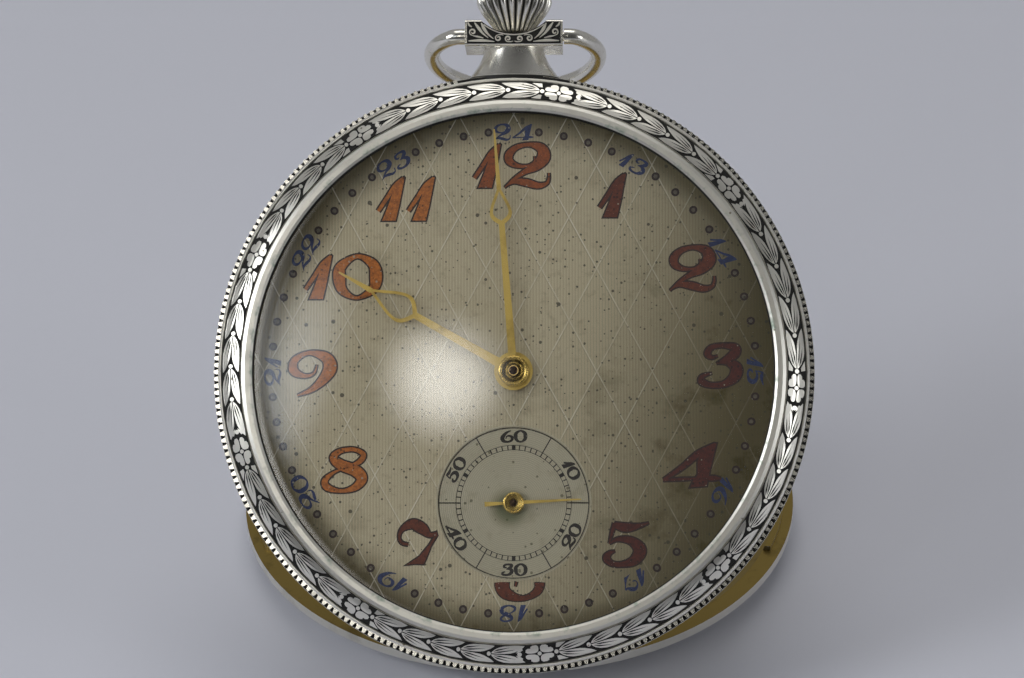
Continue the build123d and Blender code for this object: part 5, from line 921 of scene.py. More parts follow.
def ribbon(points, closed, grow):
    """The faces of a band of changing width along a line, as corner points and quads."""
    line = smooth_line(points, closed)
    count = len(line)
    corners, quads = [], []
    for index, (x, y, half) in enumerate(line):
        ahead = line[(index + 1) % count] if closed else line[min(index + 1, count - 1)]
        behind = line[index - 1] if closed else line[max(index - 1, 0)]
        along = Vector((ahead[0] - behind[0], ahead[1] - behind[1])).normalized()
        side = Vector((-along.y, along.x)) * (max(half, THINNEST) + grow)
        corners += [(x - side.x, y - side.y), (x + side.x, y + side.y)]
    for index in range(count if closed else count - 1):
        first, second = 2 * index, 2 * ((index + 1) % count)
        quads.append((first, second, second + 1, first + 1))
    return corners, quads


def grown(outline, grow):
    """An outline pushed outwards by an amount, sharp corners by no more than two and a half times as much."""
    count = len(outline)
    area = sum(outline[i - 1][0] * outline[i][1] - outline[i][0] * outline[i - 1][1] for i in range(count))
    turn = 1 if area > 0 else -1
    result = []
    for index, point in enumerate(outline):
        before, after = Vector(outline[index - 1]), Vector(outline[(index + 1) % count])
        here = Vector(point)
        sides = [(here - before).normalized(), (after - here).normalized()]
        normals = [Vector((side.y, -side.x)) * turn for side in sides]
        mean = normals[0] + normals[1]
        mean = mean.normalized() if mean.length > 0.01 else normals[0]
        reach = grow / max(mean.dot(normals[0]), 0.4)
        result.append(tuple(here + mean * reach))
    return result


# %% The figures
# A figure stands in a box one unit high. A line or a loop has points (x, y, half width), an area has (x, y).
STROKES = {
    "0": [("loop", [(0.5, 0.97, 0.05), (0.15, 0.75, 0.11), (0.1, 0.5, 0.14), (0.18, 0.2, 0.1),
                    (0.5, 0.03, 0.04), (0.85, 0.22, 0.1), (0.93, 0.5, 0.14), (0.85, 0.8, 0.11)])],
    "1": [("area", [(0.1, 0), (0.42, 0), (0.5, 0.35), (0.62, 0.98), (0.6, 1.0), (0.45, 0.88),
                    (0.36, 0.72), (0.24, 0.35)]),
          ("line", [(0.58, 0.99, 0.02), (0.4, 0.8, 0.05), (0.22, 0.52, 0.05), (0.02, 0.22, 0.045)])],
    "2": [("line", [(0.66, 0.72, 0.012), (0.66, 0.6, 0.02), (0.52, 0.5, 0.03), (0.3, 0.5, 0.05),
                    (0.13, 0.6, 0.085), (0.12, 0.76, 0.09), (0.28, 0.92, 0.06), (0.55, 0.98, 0.05),
                    (0.8, 0.9, 0.11), (0.86, 0.7, 0.145), (0.7, 0.5, 0.11), (0.45, 0.36, 0.06),
                    (0.2, 0.18, 0.035), (0.02, 0, 0.012)]),
          ("line", [(0.02, 0.02, 0.012), (0.22, 0.14, 0.05), (0.48, 0.12, 0.085), (0.74, 0.05, 0.07),
                    (0.92, 0.1, 0.04), (0.97, 0.22, 0.03), (0.97, 0.34, 0.02)])],
    "3": [("line", [(0.46, 0.72, 0.015), (0.34, 0.68, 0.04), (0.24, 0.76, 0.07), (0.32, 0.9, 0.06),
                    (0.55, 0.95, 0.05), (0.82, 0.9, 0.09), (0.8, 0.76, 0.11), (0.62, 0.64, 0.06),
                    (0.42, 0.54, 0.015)]),
          ("line", [(0.44, 0.55, 0.015), (0.66, 0.57, 0.07), (0.84, 0.44, 0.13), (0.8, 0.24, 0.12),
                    (0.58, 0.08, 0.07), (0.3, 0.06, 0.06), (0.12, 0.14, 0.08), (0.14, 0.26, 0.05),
                    (0.34, 0.33, 0.012)])],
    "4": [("area", [(0.88, 1.0), (0.93, 0.99), (0.86, 0.62), (0.8, 0.3), (0.76, 0.03), (0.47, 0),
                    (0.52, 0.15), (0.6, 0.3), (0.6, 0.62), (0.72, 0.88)]),
          ("line", [(0.9, 0.99, 0.02), (0.62, 0.76, 0.07), (0.35, 0.46, 0.06), (0.03, 0.17, 0.035)]),
          ("line", [(0.02, 0.17, 0.03), (0.35, 0.19, 0.035), (0.6, 0.2, 0.03), (0.85, 0.21, 0.06),
                    (1.0, 0.2, 0.02)])],
    "5": [("line", [(0.24, 0.95, 0.06), (0.5, 0.88, 0.1), (0.8, 0.92, 0.05), (1.0, 0.99, 0.015)]),
          ("line", [(0.27, 0.98, 0.05), (0.2, 0.74, 0.035), (0.15, 0.52, 0.02)]),
          ("line", [(0.15, 0.52, 0.015), (0.34, 0.62, 0.05), (0.62, 0.58, 0.09), (0.8, 0.38, 0.14),
                    (0.68, 0.15, 0.11), (0.42, 0.06, 0.06), (0.2, 0.08, 0.06), (0.09, 0.2, 0.08),
                    (0.16, 0.31, 0.05), (0.28, 0.36, 0.012)])],
    "7": [("line", [(0.28, 0.46, 0.03), (0.12, 0.5, 0.035), (0.05, 0.62, 0.03), (0.12, 0.8, 0.05),
                    (0.38, 0.92, 0.11), (0.62, 0.82, 0.12), (0.8, 0.68, 0.06), (0.99, 0.7, 0.05)]),
          ("area", [(0.98, 0.74), (0.9, 0.62), (0.78, 0.45), (0.55, 0.2), (0.2, 0), (0.45, 0.03),
                    (0.66, 0.02), (0.74, 0.18), (0.84, 0.42), (1.0, 0.66)])],
    "8": [("loop", [(0.93, 0.86, 0.06), (0.72, 0.97, 0.05), (0.42, 0.93, 0.06), (0.28, 0.78, 0.09),
                    (0.45, 0.62, 0.12), (0.75, 0.5, 0.13), (0.9, 0.32, 0.12), (0.75, 0.12, 0.08),
                    (0.45, 0.04, 0.045), (0.15, 0.12, 0.08), (0.1, 0.28, 0.07), (0.3, 0.46, 0.035),
                    (0.6, 0.58, 0.03), (0.85, 0.7, 0.06)])],
    "9": [("line", [(0.62, 0.72, 0.012), (0.55, 0.52, 0.03), (0.35, 0.46, 0.05), (0.12, 0.58, 0.1),
                    (0.15, 0.82, 0.08), (0.45, 0.98, 0.05), (0.8, 0.88, 0.12), (0.9, 0.65, 0.15),
                    (0.75, 0.38, 0.11), (0.5, 0.15, 0.06), (0.2, 0.02, 0.02)])],
}
WIDTHS = {"0": 1.0, "1": 1.0, "2": 1.05, "3": 1.07, "4": 1.33, "5": 1.05, "7": 0.9, "8": 1.03, "9": 1.05}
PEN_STEP = {"1": 0.60}                     # a one leans over its neighbour
FIGURE_GAP = 0.08
print("figures drawn:", " ".join(sorted(STROKES)))

# %% [markdown]
# ### From strokes to enamel
#
# Each figure becomes thin raised bands. The outline layer is the same strokes, a little wider, lying under
# the coloured layer. The mesh is filled flat and then given its thickness with a Solidify modifier.

# %% Figures as meshes
def flat_piece(name, corners, faces, height):
    """A flat mesh from corners (x, y) in mm, at a height."""
    mesh = bpy.data.meshes.new(name)
    mesh.from_pydata([(x * MM, y * MM, height * MM) for x, y in corners], [], faces)
    return link_new(name, mesh)


def add_band(corners, faces, band, new_faces):
    """Add the corners and faces of one stroke to those of a whole drawing."""
    start = len(corners)
    corners += band
    faces += [tuple(start + corner for corner in face) for face in new_faces]


def figure_mesh(name, digits, height, grow, place, low, turned_by=0.0):
    """Digits side by side, centred on a place. grow widens every stroke by that share of the height."""
    corners, faces = [], []
    pen = 0.0
    for digit in digits:
        wide = WIDTHS[digit]
        for kind, points in STROKES[digit]:
            if kind == "area":
                shape = grown([(pen + x * wide, y) for x, y in points], grow)
                add_band(corners, faces, shape, [tuple(range(len(shape)))])
            else:
                scaled = [(pen + x * wide, y, half) for x, y, half in points]
                add_band(corners, faces, *ribbon(scaled, kind == "loop", grow))
        pen += PEN_STEP.get(digit, wide) + FIGURE_GAP
    width = pen - FIGURE_GAP
    flat = flat_piece(name, [((x - width / 2) * height, (y - 0.5) * height) for x, y in corners], faces, low)
    flat.data.transform(Matrix.Translation(Vector((*place, 0)) * MM) @ Matrix.Rotation(turned_by, 4, "Z"))
    return flat


def recalculated(piece):
    """Let every face point outwards."""
    edit_all(piece)
    bpy.ops.mesh.normals_make_consistent(inside=False)
    end_edit()


def thickened(layer, thickness):
    """Turn a flat piece's faces upwards and give it a thickness in mm."""
    recalculated(layer)
    for face in layer.data.polygons:
        if face.normal.z < 0:
            face.flip()
    solid = layer.modifiers.new("thickness", "SOLIDIFY")
    solid.thickness = thickness * MM
    solid.offset = 1.0
    bpy.ops.object.modifier_apply(modifier="thickness")
    return layer


def enamel_layer(name, shapes, thickness, material):
    """Join flat shapes, give them a thickness upwards and put them on the dial."""
    layer = join(name, shapes) if len(shapes) > 1 else shapes[0]
    layer.name = name
    return onto_watch(thickened(layer, thickness), "case", material)


# %% Enamels
# DARK_ORANGE, RED_BROWN and MAROON are the orange enamel painted darker step by step towards 3 o'clock: painted
# shade where less light falls, together with uneven ageing of the enamel.
ORANGE, DARK_ORANGE = (0.42, 0.128, 0.014), (0.27, 0.062, 0.006)
RED_BROWN, MAROON = (0.12, 0.022, 0.004), (0.075, 0.010, 0.003)
INK_BROWN, INK_BLUE, INK_BLACK = (0.030, 0.014, 0.010), (0.020, 0.034, 0.11), (0.028, 0.022, 0.016)
CHIPPED_SILVER = (0.27, 0.25, 0.19)


def enamel(name, colour, chip_size):
    """Printed enamel: mottled, dirty, and worn through in specks where the silver shows."""
    material, tree, shader, place = new_material(name, 0.0, 0.62, colour)
    shade = blend_colours(tree, patina(tree, place, 0.4, 0.85), colour, darker(colour, 0.35), 0.75)
    shade = blend_colours(tree, patina(tree, place, 0.13, 0.75), shade, darker(colour, 0.3), 0.6)
    shade = blend_colours(tree, pits(tree, place, 0.38, chip_size), shade, CHIPPED_SILVER, 0.8)
    shade = blend_colours(tree, pits(tree, place, 0.27, 0.42), shade, darker(colour, 0.12), 0.8)
    wire(tree, shade, shader.inputs["Base Color"])
    return material


orange_enamel = enamel("orange_enamel", ORANGE, 0.3)
deep_orange_enamel = enamel("deep_orange_enamel", DARK_ORANGE, 0.3)
red_enamel = enamel("red_enamel", RED_BROWN, 0.28)
maroon_enamel = enamel("maroon_enamel", MAROON, 0.25)
ink_enamel = enamel("ink_enamel", INK_BROWN, 0.2)
blue_enamel = enamel("blue_enamel", INK_BLUE, 0.25)
black_enamel = enamel("black_enamel", INK_BLACK, 0.25)

# %% Hour numerals
HOUR_HEIGHT = 3.7
OUTLINE, BODY_INSET = 0.028, 0.008         # shares of that height
# The enamels go from orange on the 9 side to maroon on the 3 side: painted shade, as on the dial, with uneven
# ageing.
HOURS = {
    "12": ((-0.15, 17.2), deep_orange_enamel),
    "1": ((8.18, 14.7), red_enamel),
    "2": ((14.84, 8.54), red_enamel),
    "3": ((17.1, 0.47), maroon_enamel),
    "4": ((14.7, -7.8), maroon_enamel),
    "5": ((9.26, -14.35), maroon_enamel),
    "7": ((-7.97, -14.2), red_enamel),
    "8": ((-14.1, -8.2), orange_enamel),
    "9": ((-16.8, -0.2), orange_enamel),
    "10": ((-14.3, 7.9), orange_enamel),
    "11": ((-9.0, 14.45), orange_enamel),
}
for hour, (centre, hour_enamel) in HOURS.items():
    outline = figure_mesh("outline_" + hour, hour, HOUR_HEIGHT, OUTLINE, centre, DIAL_TOP)
    enamel_layer("numeral_outline_" + hour, [outline], INK, ink_enamel)
    inner = figure_mesh("body_" + hour, hour, HOUR_HEIGHT, -BODY_INSET, centre, DIAL_TOP + INK)
    enamel_layer("numeral_" + hour, [inner], INK, hour_enamel)
print("hour numerals:", len(HOURS))

# %% [markdown]
# ### The six behind the small seconds
#
# The six is the nine turned half round. The seconds dial covers all but the bottom of it, so the flat shape
# is cut by a bisecting plane before it gets its thickness.

# %% What shows of the six
STROKES["6"] = [("line", [(1 - x, 1 - y, half) for x, y, half in STROKES["9"][0][1]])]
WIDTHS["6"] = WIDTHS["9"]
SIX_CENTRE, SIX_TOP = (0.6, -17.0), -17.42


def six_below_seconds(name, grow, low):
    """The six without what lies above its cut."""
    shape = figure_mesh(name, "6", HOUR_HEIGHT, grow, SIX_CENTRE, low)
    edit_all(shape)
    bpy.ops.mesh.bisect(plane_co=(0, SIX_TOP * MM, 0), plane_no=(0, 1, 0), clear_outer=True)
    end_edit()
    return shape


enamel_layer("numeral_outline_6", [six_below_seconds("six_outline", OUTLINE, DIAL_TOP)], INK, ink_enamel)
enamel_layer("numeral_6", [six_below_seconds("six_body", 0, DIAL_TOP + INK)], INK, red_enamel)
print("the six shows below", SIX_TOP, "mm")

# %% [markdown]
# ### Afternoon hours and minute rings
#
# A second circle of small blue numbers counts 13 to 24, each with its top outwards. Between two of them stand
# four little rings, one for each minute. One ring is modelled, and the other forty-seven are copies of it.

# %% Blue numbers
BLUE_RADIUS, BLUE_HEIGHT, BLUE_GROW = 20.0, 1.35, 0.004


def on_circle(radius, angle, centre=(0.0, 0.0)):
    """The point of a circle at an angle."""
    return centre[0] + radius * cos(angle), centre[1] + radius * sin(angle)


blue_numbers = []
for hour in range(1, 13):
    angle = pi / 2 - hour * pi / 6
    centre = on_circle(BLUE_RADIUS, angle)
    blue_numbers.append(figure_mesh("blue", str(12 + hour), BLUE_HEIGHT, BLUE_GROW, centre, DIAL_TOP,
                                    angle - pi / 2))
enamel_layer("afternoon_hours", blue_numbers, INK, blue_enamel)
print("afternoon hours:", len(blue_numbers))


# %% Discs, rings and ticks
def flat_disc(name, radius, centre, low, sides):
    """A filled circle."""
    clear_selection()
    place = (centre[0] * MM, centre[1] * MM, low * MM)
    bpy.ops.mesh.primitive_circle_add(vertices=sides, radius=radius * MM, fill_type="NGON", location=place)
    disc = bpy.context.object
    disc.name = name
    bpy.ops.object.transform_apply(location=True, rotation=False, scale=False)
    return disc


def flat_ring(name, inner, outer, centre, low, sides):
    """A disc whose middle is inset and taken out."""
    ring = flat_disc(name, outer, centre, low, sides)
    edit_all(ring)
    bpy.ops.mesh.inset(thickness=(outer - inner) * MM)
    bpy.ops.mesh.delete(type="FACE")
    end_edit()
    return ring


def flat_tick(name, inner, outer, width, angle, centre, low):
    """A short bar that points to a centre."""
    clear_selection()
    bpy.ops.mesh.primitive_plane_add(size=1.0, location=(0, 0, 0))
    tick = bpy.context.object
    tick.name = name
    middle = (inner + outer) / 2
    size = Matrix.Diagonal(((outer - inner) * MM, width * MM, 1, 1))
    place = Matrix.Translation((centre[0] * MM, centre[1] * MM, low * MM))
    turn = Matrix.Rotation(angle, 4, "Z") @ Matrix.Translation((middle * MM, 0, 0))
    tick.data.transform(place @ turn @ size)
    return tick


# %% Minute rings
MINUTE_RADIUS, DOT_RADIUS, DOT_HOLE = 20.1, 0.34, 0.17
EYE_BROWN = (0.12, 0.10, 0.07)
minute_ring = flat_ring("minute_ring", DOT_HOLE, DOT_RADIUS, (MINUTE_RADIUS, 0), DIAL_TOP, 20)
minute_eye = flat_disc("minute_eye", DOT_HOLE, (MINUTE_RADIUS, 0), DIAL_TOP, 16)
rings, eyes = [], []
for minute in range(60):
    if minute % 5:
        turn = Matrix.Rotation(minute * pi / 30, 4, "Z")
        rings.append(copy_of(minute_ring, turn))
        eyes.append(copy_of(minute_eye, turn))
bpy.data.objects.remove(minute_ring)
bpy.data.objects.remove(minute_eye)
brown_enamel = enamel("brown_enamel", EYE_BROWN, 0.4)
enamel_layer("minute_rings", rings, INK, ink_enamel)
enamel_layer("minute_eyes", eyes, INK / 2, brown_enamel)
print("minute rings:", len(rings))

# %% [markdown]
# ### The small seconds dial
#
# A railway track of sixty ticks runs round it, with a block every ten seconds and a long line between two
# numbers. Its numbers read from the rim at the top and from the middle at the bottom. The floor gets a disc
# of its own, paler than the dial, and a bright bevel stands round it.

# %% Floor of the small dial
SECONDS_RADIUS, HUB_HOLE, FLOOR_THICKNESS = 6.28, 0.35, 0.01
seconds_disc = flat_ring("seconds_floor", HUB_HOLE, SECONDS_RADIUS, SECONDS_CENTRE, SECONDS_FLOOR, 96)
floor_film = enamel_layer("seconds_floor", [seconds_disc], FLOOR_THICKNESS, seconds_finish)
print("faces of the floor:", len(floor_film.data.polygons))

# %% Track
TRACK_INNER, TRACK_OUTER, TRACK_LINE = 4.38, 4.76, 0.045
EDGE_INNER, EDGE_OUTER = SECONDS_RADIUS - 0.10, SECONDS_RADIUS - 0.03
TICK_WIDTH, BLOCK_WIDTH, TICK_OVERLAP = 0.09, 0.30, 0.02
LONG_LINE_END = SECONDS_RADIUS - 0.05
PRINT_HEIGHT = SECONDS_FLOOR + 0.012

lines = []
for inner, outer, sides in ((TRACK_INNER, TRACK_INNER + TRACK_LINE, 96),
                            (TRACK_OUTER, TRACK_OUTER + TRACK_LINE, 96), (EDGE_INNER, EDGE_OUTER, 128)):
    lines.append(flat_ring("line", inner, outer, SECONDS_CENTRE, PRINT_HEIGHT, sides))
for second in range(60):
    angle = pi / 2 - second * pi / 30
    width = TICK_WIDTH if second % 10 else BLOCK_WIDTH
    lines.append(flat_tick("tick", TRACK_INNER, TRACK_OUTER + TICK_OVERLAP, width, angle, SECONDS_CENTRE,
                           PRINT_HEIGHT))
    if second % 10 == 5:
        lines.append(flat_tick("tick", TRACK_OUTER, LONG_LINE_END, TICK_WIDTH, angle, SECONDS_CENTRE,
                               PRINT_HEIGHT))
enamel_layer("seconds_track", lines, INK, black_enamel)
print("lines of the track:", len(lines))

# %% Bevel
BEVEL_INNER, BEVEL_OUTER, BEVEL_THICKNESS = SECONDS_RADIUS + 0.03, SECONDS_RADIUS + 0.15, 0.02
bevel = flat_ring("seconds_bevel", BEVEL_INNER, BEVEL_OUTER, SECONDS_CENTRE, DIAL_TOP, 128)
enamel_layer("seconds_bevel", [bevel], BEVEL_THICKNESS, seconds_finish)
print("the bevel reaches", round(BEVEL_OUTER, 2), "mm from the seconds hand's axis")

# %% Numbers of the small dial
SMALL_RADIUS, SMALL_HEIGHT, SMALL_GROW = 5.52, 0.98, 0.03
READ_FROM_MIDDLE = (20, 30, 40)

numbers = []
for second in (10, 20, 30, 40, 50, 60):
    angle = pi / 2 - second * pi / 30
    upright = angle + pi / 2 if second in READ_FROM_MIDDLE else angle - pi / 2
    numbers.append(figure_mesh("small", str(second), SMALL_HEIGHT, SMALL_GROW,
                               on_circle(SMALL_RADIUS, angle, SECONDS_CENTRE), PRINT_HEIGHT, upright))
enamel_layer("seconds_numbers", numbers, INK, black_enamel)
print("numbers on the seconds dial:", len(numbers))

# %% [markdown]
# ## The engraved bezel
#
# A laurel garland runs round the glass: fans of two leaves from a bud, and nine four-petalled flowers. On the
# real bezel the ground was cut away and blackened, so the leaves stand proud and shine. Here the black ground
# belongs to the bezel's material, and each fan is a thin raised plate with its veins cut through. One fan and
# one flower are drawn flat, extruded from filled curves, and copied round the ring.

# %% The band that carries the garland
BAND_MIDDLE = 23.44
BAND_PROFILE = [(22.30, 2.25), (22.75, 2.12), (23.21, 1.937), (23.67, 1.663), (24.13, 1.30), (24.40, 1.30)]
LEAF_SUNK, LEAF_PROUD = -0.04, 0.075       # below and above the band
CUTS_ALONG, CUTS_ACROSS = (0.34, -0.34), (0.9, 1.8)


def band_height(radius):
    """Height of the bezel's band at a radius."""
    for (r0, z0), (r1, z1) in zip(BAND_PROFILE, BAND_PROFILE[1:]):
        if radius <= r1:
            return z0 + (z1 - z0) * (radius - r0) / (r1 - r0)
    return BAND_PROFILE[-1][1]


def plate(name, outlines):
    """Filled outlines with holes, in mm along and across the band, as a plate from height 0 to 1."""
    curve = bpy.data.curves.new(name, "CURVE")
    curve.dimensions = "2D"
    curve.fill_mode = "BOTH"
    curve.extrude = 0.5
    for outline in outlines:
        spline = curve.splines.new("POLY")
        spline.points.add(len(outline) - 1)
        for point, (along, across) in zip(spline.points, outline):
            point.co = (along, across, 0, 1)
        spline.use_cyclic_u = True
    select_only(link_new(name, curve))
    bpy.ops.object.convert(target="MESH")
    flat = bpy.context.object
    flat.data.transform(Matrix.Translation((0, 0, 0.5)))
    edit_all(flat)
    for line in CUTS_ALONG:
        bpy.ops.mesh.select_all(action="SELECT")
        bpy.ops.mesh.bisect(plane_co=(0, line, 0), plane_no=(0, 1, 0))
    for line in CUTS_ACROSS:
        bpy.ops.mesh.select_all(action="SELECT")
        bpy.ops.mesh.bisect(plane_co=(line, 0, 0), plane_no=(1, 0, 0))
    bpy.ops.mesh.select_all(action="SELECT")
    bpy.ops.mesh.remove_doubles(threshold=0.001)
    end_edit()
    return flat


def bent_copy(flat, degrees, stretch=1.0):
    """A copy laid on the band at an angle. Along runs counter-clockwise, across runs outwards."""
    twin = copy_of(flat, Matrix())
    for vertex in twin.data.vertices:
        along, across, level = vertex.co
        radius = BAND_MIDDLE + across
        turn = radians(degrees) + along * stretch / BAND_MIDDLE
        height = band_height(radius) + LEAF_SUNK + (LEAF_PROUD - LEAF_SUNK) * level
        vertex.co = Vector((radius * cos(turn), radius * sin(turn), height)) * MM
    return twin


def both_sides(*outlines):
    """Outlines, and then their mirror images across the middle of the band."""
    return [[(along, across * side) for along, across in outline] for side in (1, -1) for outline in outlines]


def bud(radius, sides=12):
    """A round outline."""
    return [on_circle(radius, 2 * pi * i / sides) for i in range(sides)]


# %% A fan of leaves
LEAF = [(0.20, 0.045), (0.30, 0.19), (0.52, 0.37), (0.88, 0.54), (1.35, 0.66), (2.0, 0.72), (2.7, 0.72),
        (3.28, 0.67), (3.10, 0.52), (2.88, 0.39), (2.60, 0.28), (2.36, 0.18), (2.0, 0.095), (1.4, 0.05),
        (0.7, 0.04)]
OUTER_VEIN = [(0.36, 0.18), (0.78, 0.395), (1.95, 0.58), (0.90, 0.30)]
INNER_VEIN = [(0.38, 0.10), (0.90, 0.225), (2.45, 0.40), (1.05, 0.125)]
FAN_BUD = 0.18
fan = plate("leaf_fan", [bud(FAN_BUD)] + both_sides(LEAF, OUTER_VEIN, INNER_VEIN))
print("faces of a fan:", len(fan.data.polygons))

# %% A flower with its leaflets
PETAL = [(0.22, 0.0), (0.27, -0.17), (0.40, -0.335), (0.58, -0.49), (0.76, -0.50), (0.92, -0.32),
         (0.93, -0.13), (0.80, 0.0), (0.93, 0.13), (0.92, 0.32), (0.76, 0.50), (0.58, 0.49), (0.40, 0.335),
         (0.27, 0.17)]
FLOWER_BUD, FLOWER_LENGTH, FLOWER_WIDTH = 0.17, 1.30, 0.78      # the two stretches of the petals
SMALL_BUD, SEPAL = 0.19, [(-0.30, 0.10), (-0.12, 0.30), (0.22, 0.52), (0.28, 0.34), (0.10, 0.22)]
LEAFLET = [(0.0, 0.36), (0.08, 0.71), (0.88, 0.69), (0.56, 0.51), (0.26, 0.34)]

petals = []
for quarter in range(4):
    turn = pi / 4 + quarter * pi / 2
    petals.append([((x * cos(turn) - y * sin(turn)) * FLOWER_LENGTH,
                    (x * sin(turn) + y * cos(turn)) * FLOWER_WIDTH) for x, y in PETAL])
flower = plate("flower", [bud(FLOWER_BUD)] + petals)
small_bud = plate("small_bud", [bud(SMALL_BUD)] + both_sides(SEPAL))
leaflets = plate("leaflets", both_sides(LEAFLET))
print("faces of a flower:", len(flower.data.polygons))

# %% The garland
FLOWERS = (80.7, 40.2, -3.7, -44.1, -84.7, -123.1, -163.4, -204.4, -237.0)      # degrees, clockwise
BUD_AFTER, FAN_BEFORE, USUAL_STEP = 4.06, 3.4, 6.8
garland = []
for index, angle in enumerate(FLOWERS):
    following = FLOWERS[(index + 1) % len(FLOWERS)]
    garland.append(bent_copy(flower, angle))
    garland.append(bent_copy(leaflets, angle + FAN_BEFORE))
    garland.append(bent_copy(small_bud, angle - BUD_AFTER))
    room = (angle - following) % 360 - BUD_AFTER - FAN_BEFORE
    fans = round(room / USUAL_STEP)
    step = room / fans
    for number in range(1, fans + 1):
        garland.append(bent_copy(fan, angle - BUD_AFTER - number * step, step / USUAL_STEP))
for pattern in (fan, flower, small_bud, leaflets):
    bpy.data.objects.remove(pattern)
print("pieces of the garland:", len(garland))
garland_ring = join("bezel_garland", garland)
onto_watch(garland_ring, "case", leaf_silver)
print("faces in the garland:", len(garland_ring.data.polygons))

# %% [markdown]
# ## Scrolls on the pendant
#
# The head of the pendant is engraved front and back with small scrolls and leaves on a blackened ground. They
# are strokes like those of the numerals: spirals that wind inwards and swell in their middle. One half is
# drawn, mirrored, given a thickness, and laid on both faces.

# %% Scrolls and leaves
HEAD_FACE = 2.5                            # from the head's middle to its front and back
SCROLL_SUNK, SCROLL_PROUD = 0.02, 0.07     # below and above that face
SADDLE_MIDDLE, SADDLE_LINE = 32.5, 4.12    # centre and radius of the line along the saddle
POINTS_PER_TURN, WOUND_IN = 9, 0.72        # a spiral ends at a radius smaller by this share
SPIRAL_THIN, SPIRAL_SWELL = 0.03, 0.04


def scroll(x, y, radius, start, turns, hand, tail):
    """A spiral that winds inwards round a point, with a tail that leads into it."""
    points = list(tail)
    steps = round(turns * POINTS_PER_TURN)
    for step in range(steps + 1):
        share = step / steps
        angle = start + hand * 2 * pi * turns * share
        reach = radius * (1 - WOUND_IN * share)
        points.append((*on_circle(reach, angle, (x, y)), SPIRAL_THIN + SPIRAL_SWELL * sin(pi * share)))
    return points


# (x, y, half width) for one half of the head, x from its middle and y from the dial's centre
HALF_HEAD = [
    scroll(0.48, 28.05, 0.26, -pi / 2, 1.2, 1, [(0.05, 27.84, .02), (0.22, 27.79, .04)]),
    scroll(1.30, 28.10, 0.27, pi / 2, 1.2, -1, [(0.86, 28.33, .02), (1.05, 28.39, .04)]),
    scroll(3.45, 28.62, 0.30, -pi / 2, 1.25, 1, [(2.55, 28.10, .03), (3.0, 28.22, .07), (3.3, 28.27, .05)]),
    [(1.62, 27.80, .02), (2.2, 27.86, .08), (2.9, 27.90, .11), (3.80, 27.86, .04)],
    [(1.72, 28.05, .02), (2.15, 28.42, .08), (2.50, 28.90, .13), (2.72, 29.38, .05)],
    [(2.15, 28.12, .02), (2.62, 28.52, .08), (2.98, 28.98, .12), (3.30, 29.42, .04)],
    [(3.52, 29.05, .03), (3.74, 29.20, .08), (3.86, 29.44, .04)],
    [(SADDLE_LINE * sin(turn), SADDLE_MIDDLE - SADDLE_LINE * cos(turn), .045)
     for turn in (0.0, 0.17, 0.34, 0.51, 0.66)],
]


def scroll_face(name, half_turn):
    """All strokes of one face, laid on the front or turned over to the back."""
    corners, faces = [], []
    for side in (1, -1):
        for stroke in HALF_HEAD:
            band, quads = ribbon(stroke, False, 0.0)
            add_band(corners, faces, [(x * side, y) for x, y in band], quads)
    flat = flat_piece(name, corners, faces, HEAD_FACE - SCROLL_SUNK)
    layer = thickened(flat, SCROLL_SUNK + SCROLL_PROUD)
    onto_head = Matrix.Translation((0, 0, STEM_AXIS * MM)) @ Matrix.Rotation(half_turn, 4, "Y")
    layer.data.transform(onto_head)
    onto_watch(layer, "case", leaf_silver)
    print(name, "faces:", len(layer.data.polygons))


scroll_face("front_scrolls", 0.0)
scroll_face("back_scrolls", pi)

# %% [markdown]
# ## The crystal
#
# A watch glass is pressed or ground as part of a sphere with a thin edge that snaps into the bezel. The
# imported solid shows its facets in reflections, so a smooth one takes its place: its section is drawn once and
# spun round the dial's axis, and the seam that the spin leaves is merged.

# %% A helper for turned pieces
MERGE_DISTANCE = 0.000002                  # m


def turned(name, section, steps, crease):
    """Spin a closed section of (radius, height) points round the axis of the bench."""
    count = len(section)
    edges = [(i, (i + 1) % count) for i in range(count)]
    off_axis = [(a, b) for a, b in edges if section[a][0] or section[b][0]]
    profile = bpy.data.meshes.new(name)
    profile.from_pydata([(radius * MM, 0, height * MM) for radius, height in section], off_axis, [])
    piece = link_new(name, profile)
    edit_all(piece)
    bpy.ops.mesh.spin(steps=steps, angle=2 * pi, center=(0, 0, 0), axis=(0, 0, 1))
    bpy.ops.mesh.select_all(action="SELECT")
    bpy.ops.mesh.remove_doubles(threshold=MERGE_DISTANCE)
    bpy.ops.mesh.normals_make_consistent(inside=False)
    end_edit()
    bpy.ops.object.shade_smooth_by_angle(angle=radians(crease))
    return piece


# %% Domed glass
GLASS_RADIUS, GLASS_EDGE_LOW, GLASS_EDGE_TOP = 21.75, 1.44, 1.90
DOME_START, DOME_TOP, GLASS_WALL, DOME_STEPS = 21.45, 4.20, 0.5, 22
GLASS_SIDES, GLASS_CREASE = 128, 40        # the crease in degrees


def dome(radius_at_edge, low, top):
    """Points of an arc from the middle of the dome to its edge."""
    rise = top - low
    sphere = (radius_at_edge ** 2 + rise ** 2) / (2 * rise)
    lean = asin(radius_at_edge / sphere)
    return [(sphere * sin(lean * i / DOME_STEPS), top - sphere + sphere * cos(lean * i / DOME_STEPS))
            for i in range(DOME_STEPS + 1)]


outer = dome(DOME_START, GLASS_EDGE_TOP, DOME_TOP)
inner = dome(DOME_START - GLASS_WALL, GLASS_EDGE_LOW, DOME_TOP - GLASS_WALL)
glass_edge = [(GLASS_RADIUS, GLASS_EDGE_TOP), (GLASS_RADIUS, GLASS_EDGE_LOW)]
glass = turned("domed_glass", outer + glass_edge + inner[::-1], GLASS_SIDES, GLASS_CREASE)
onto_watch(glass, "case", crystal_glass)
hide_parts("crystal")
print("faces in the glass:", len(glass.data.polygons))

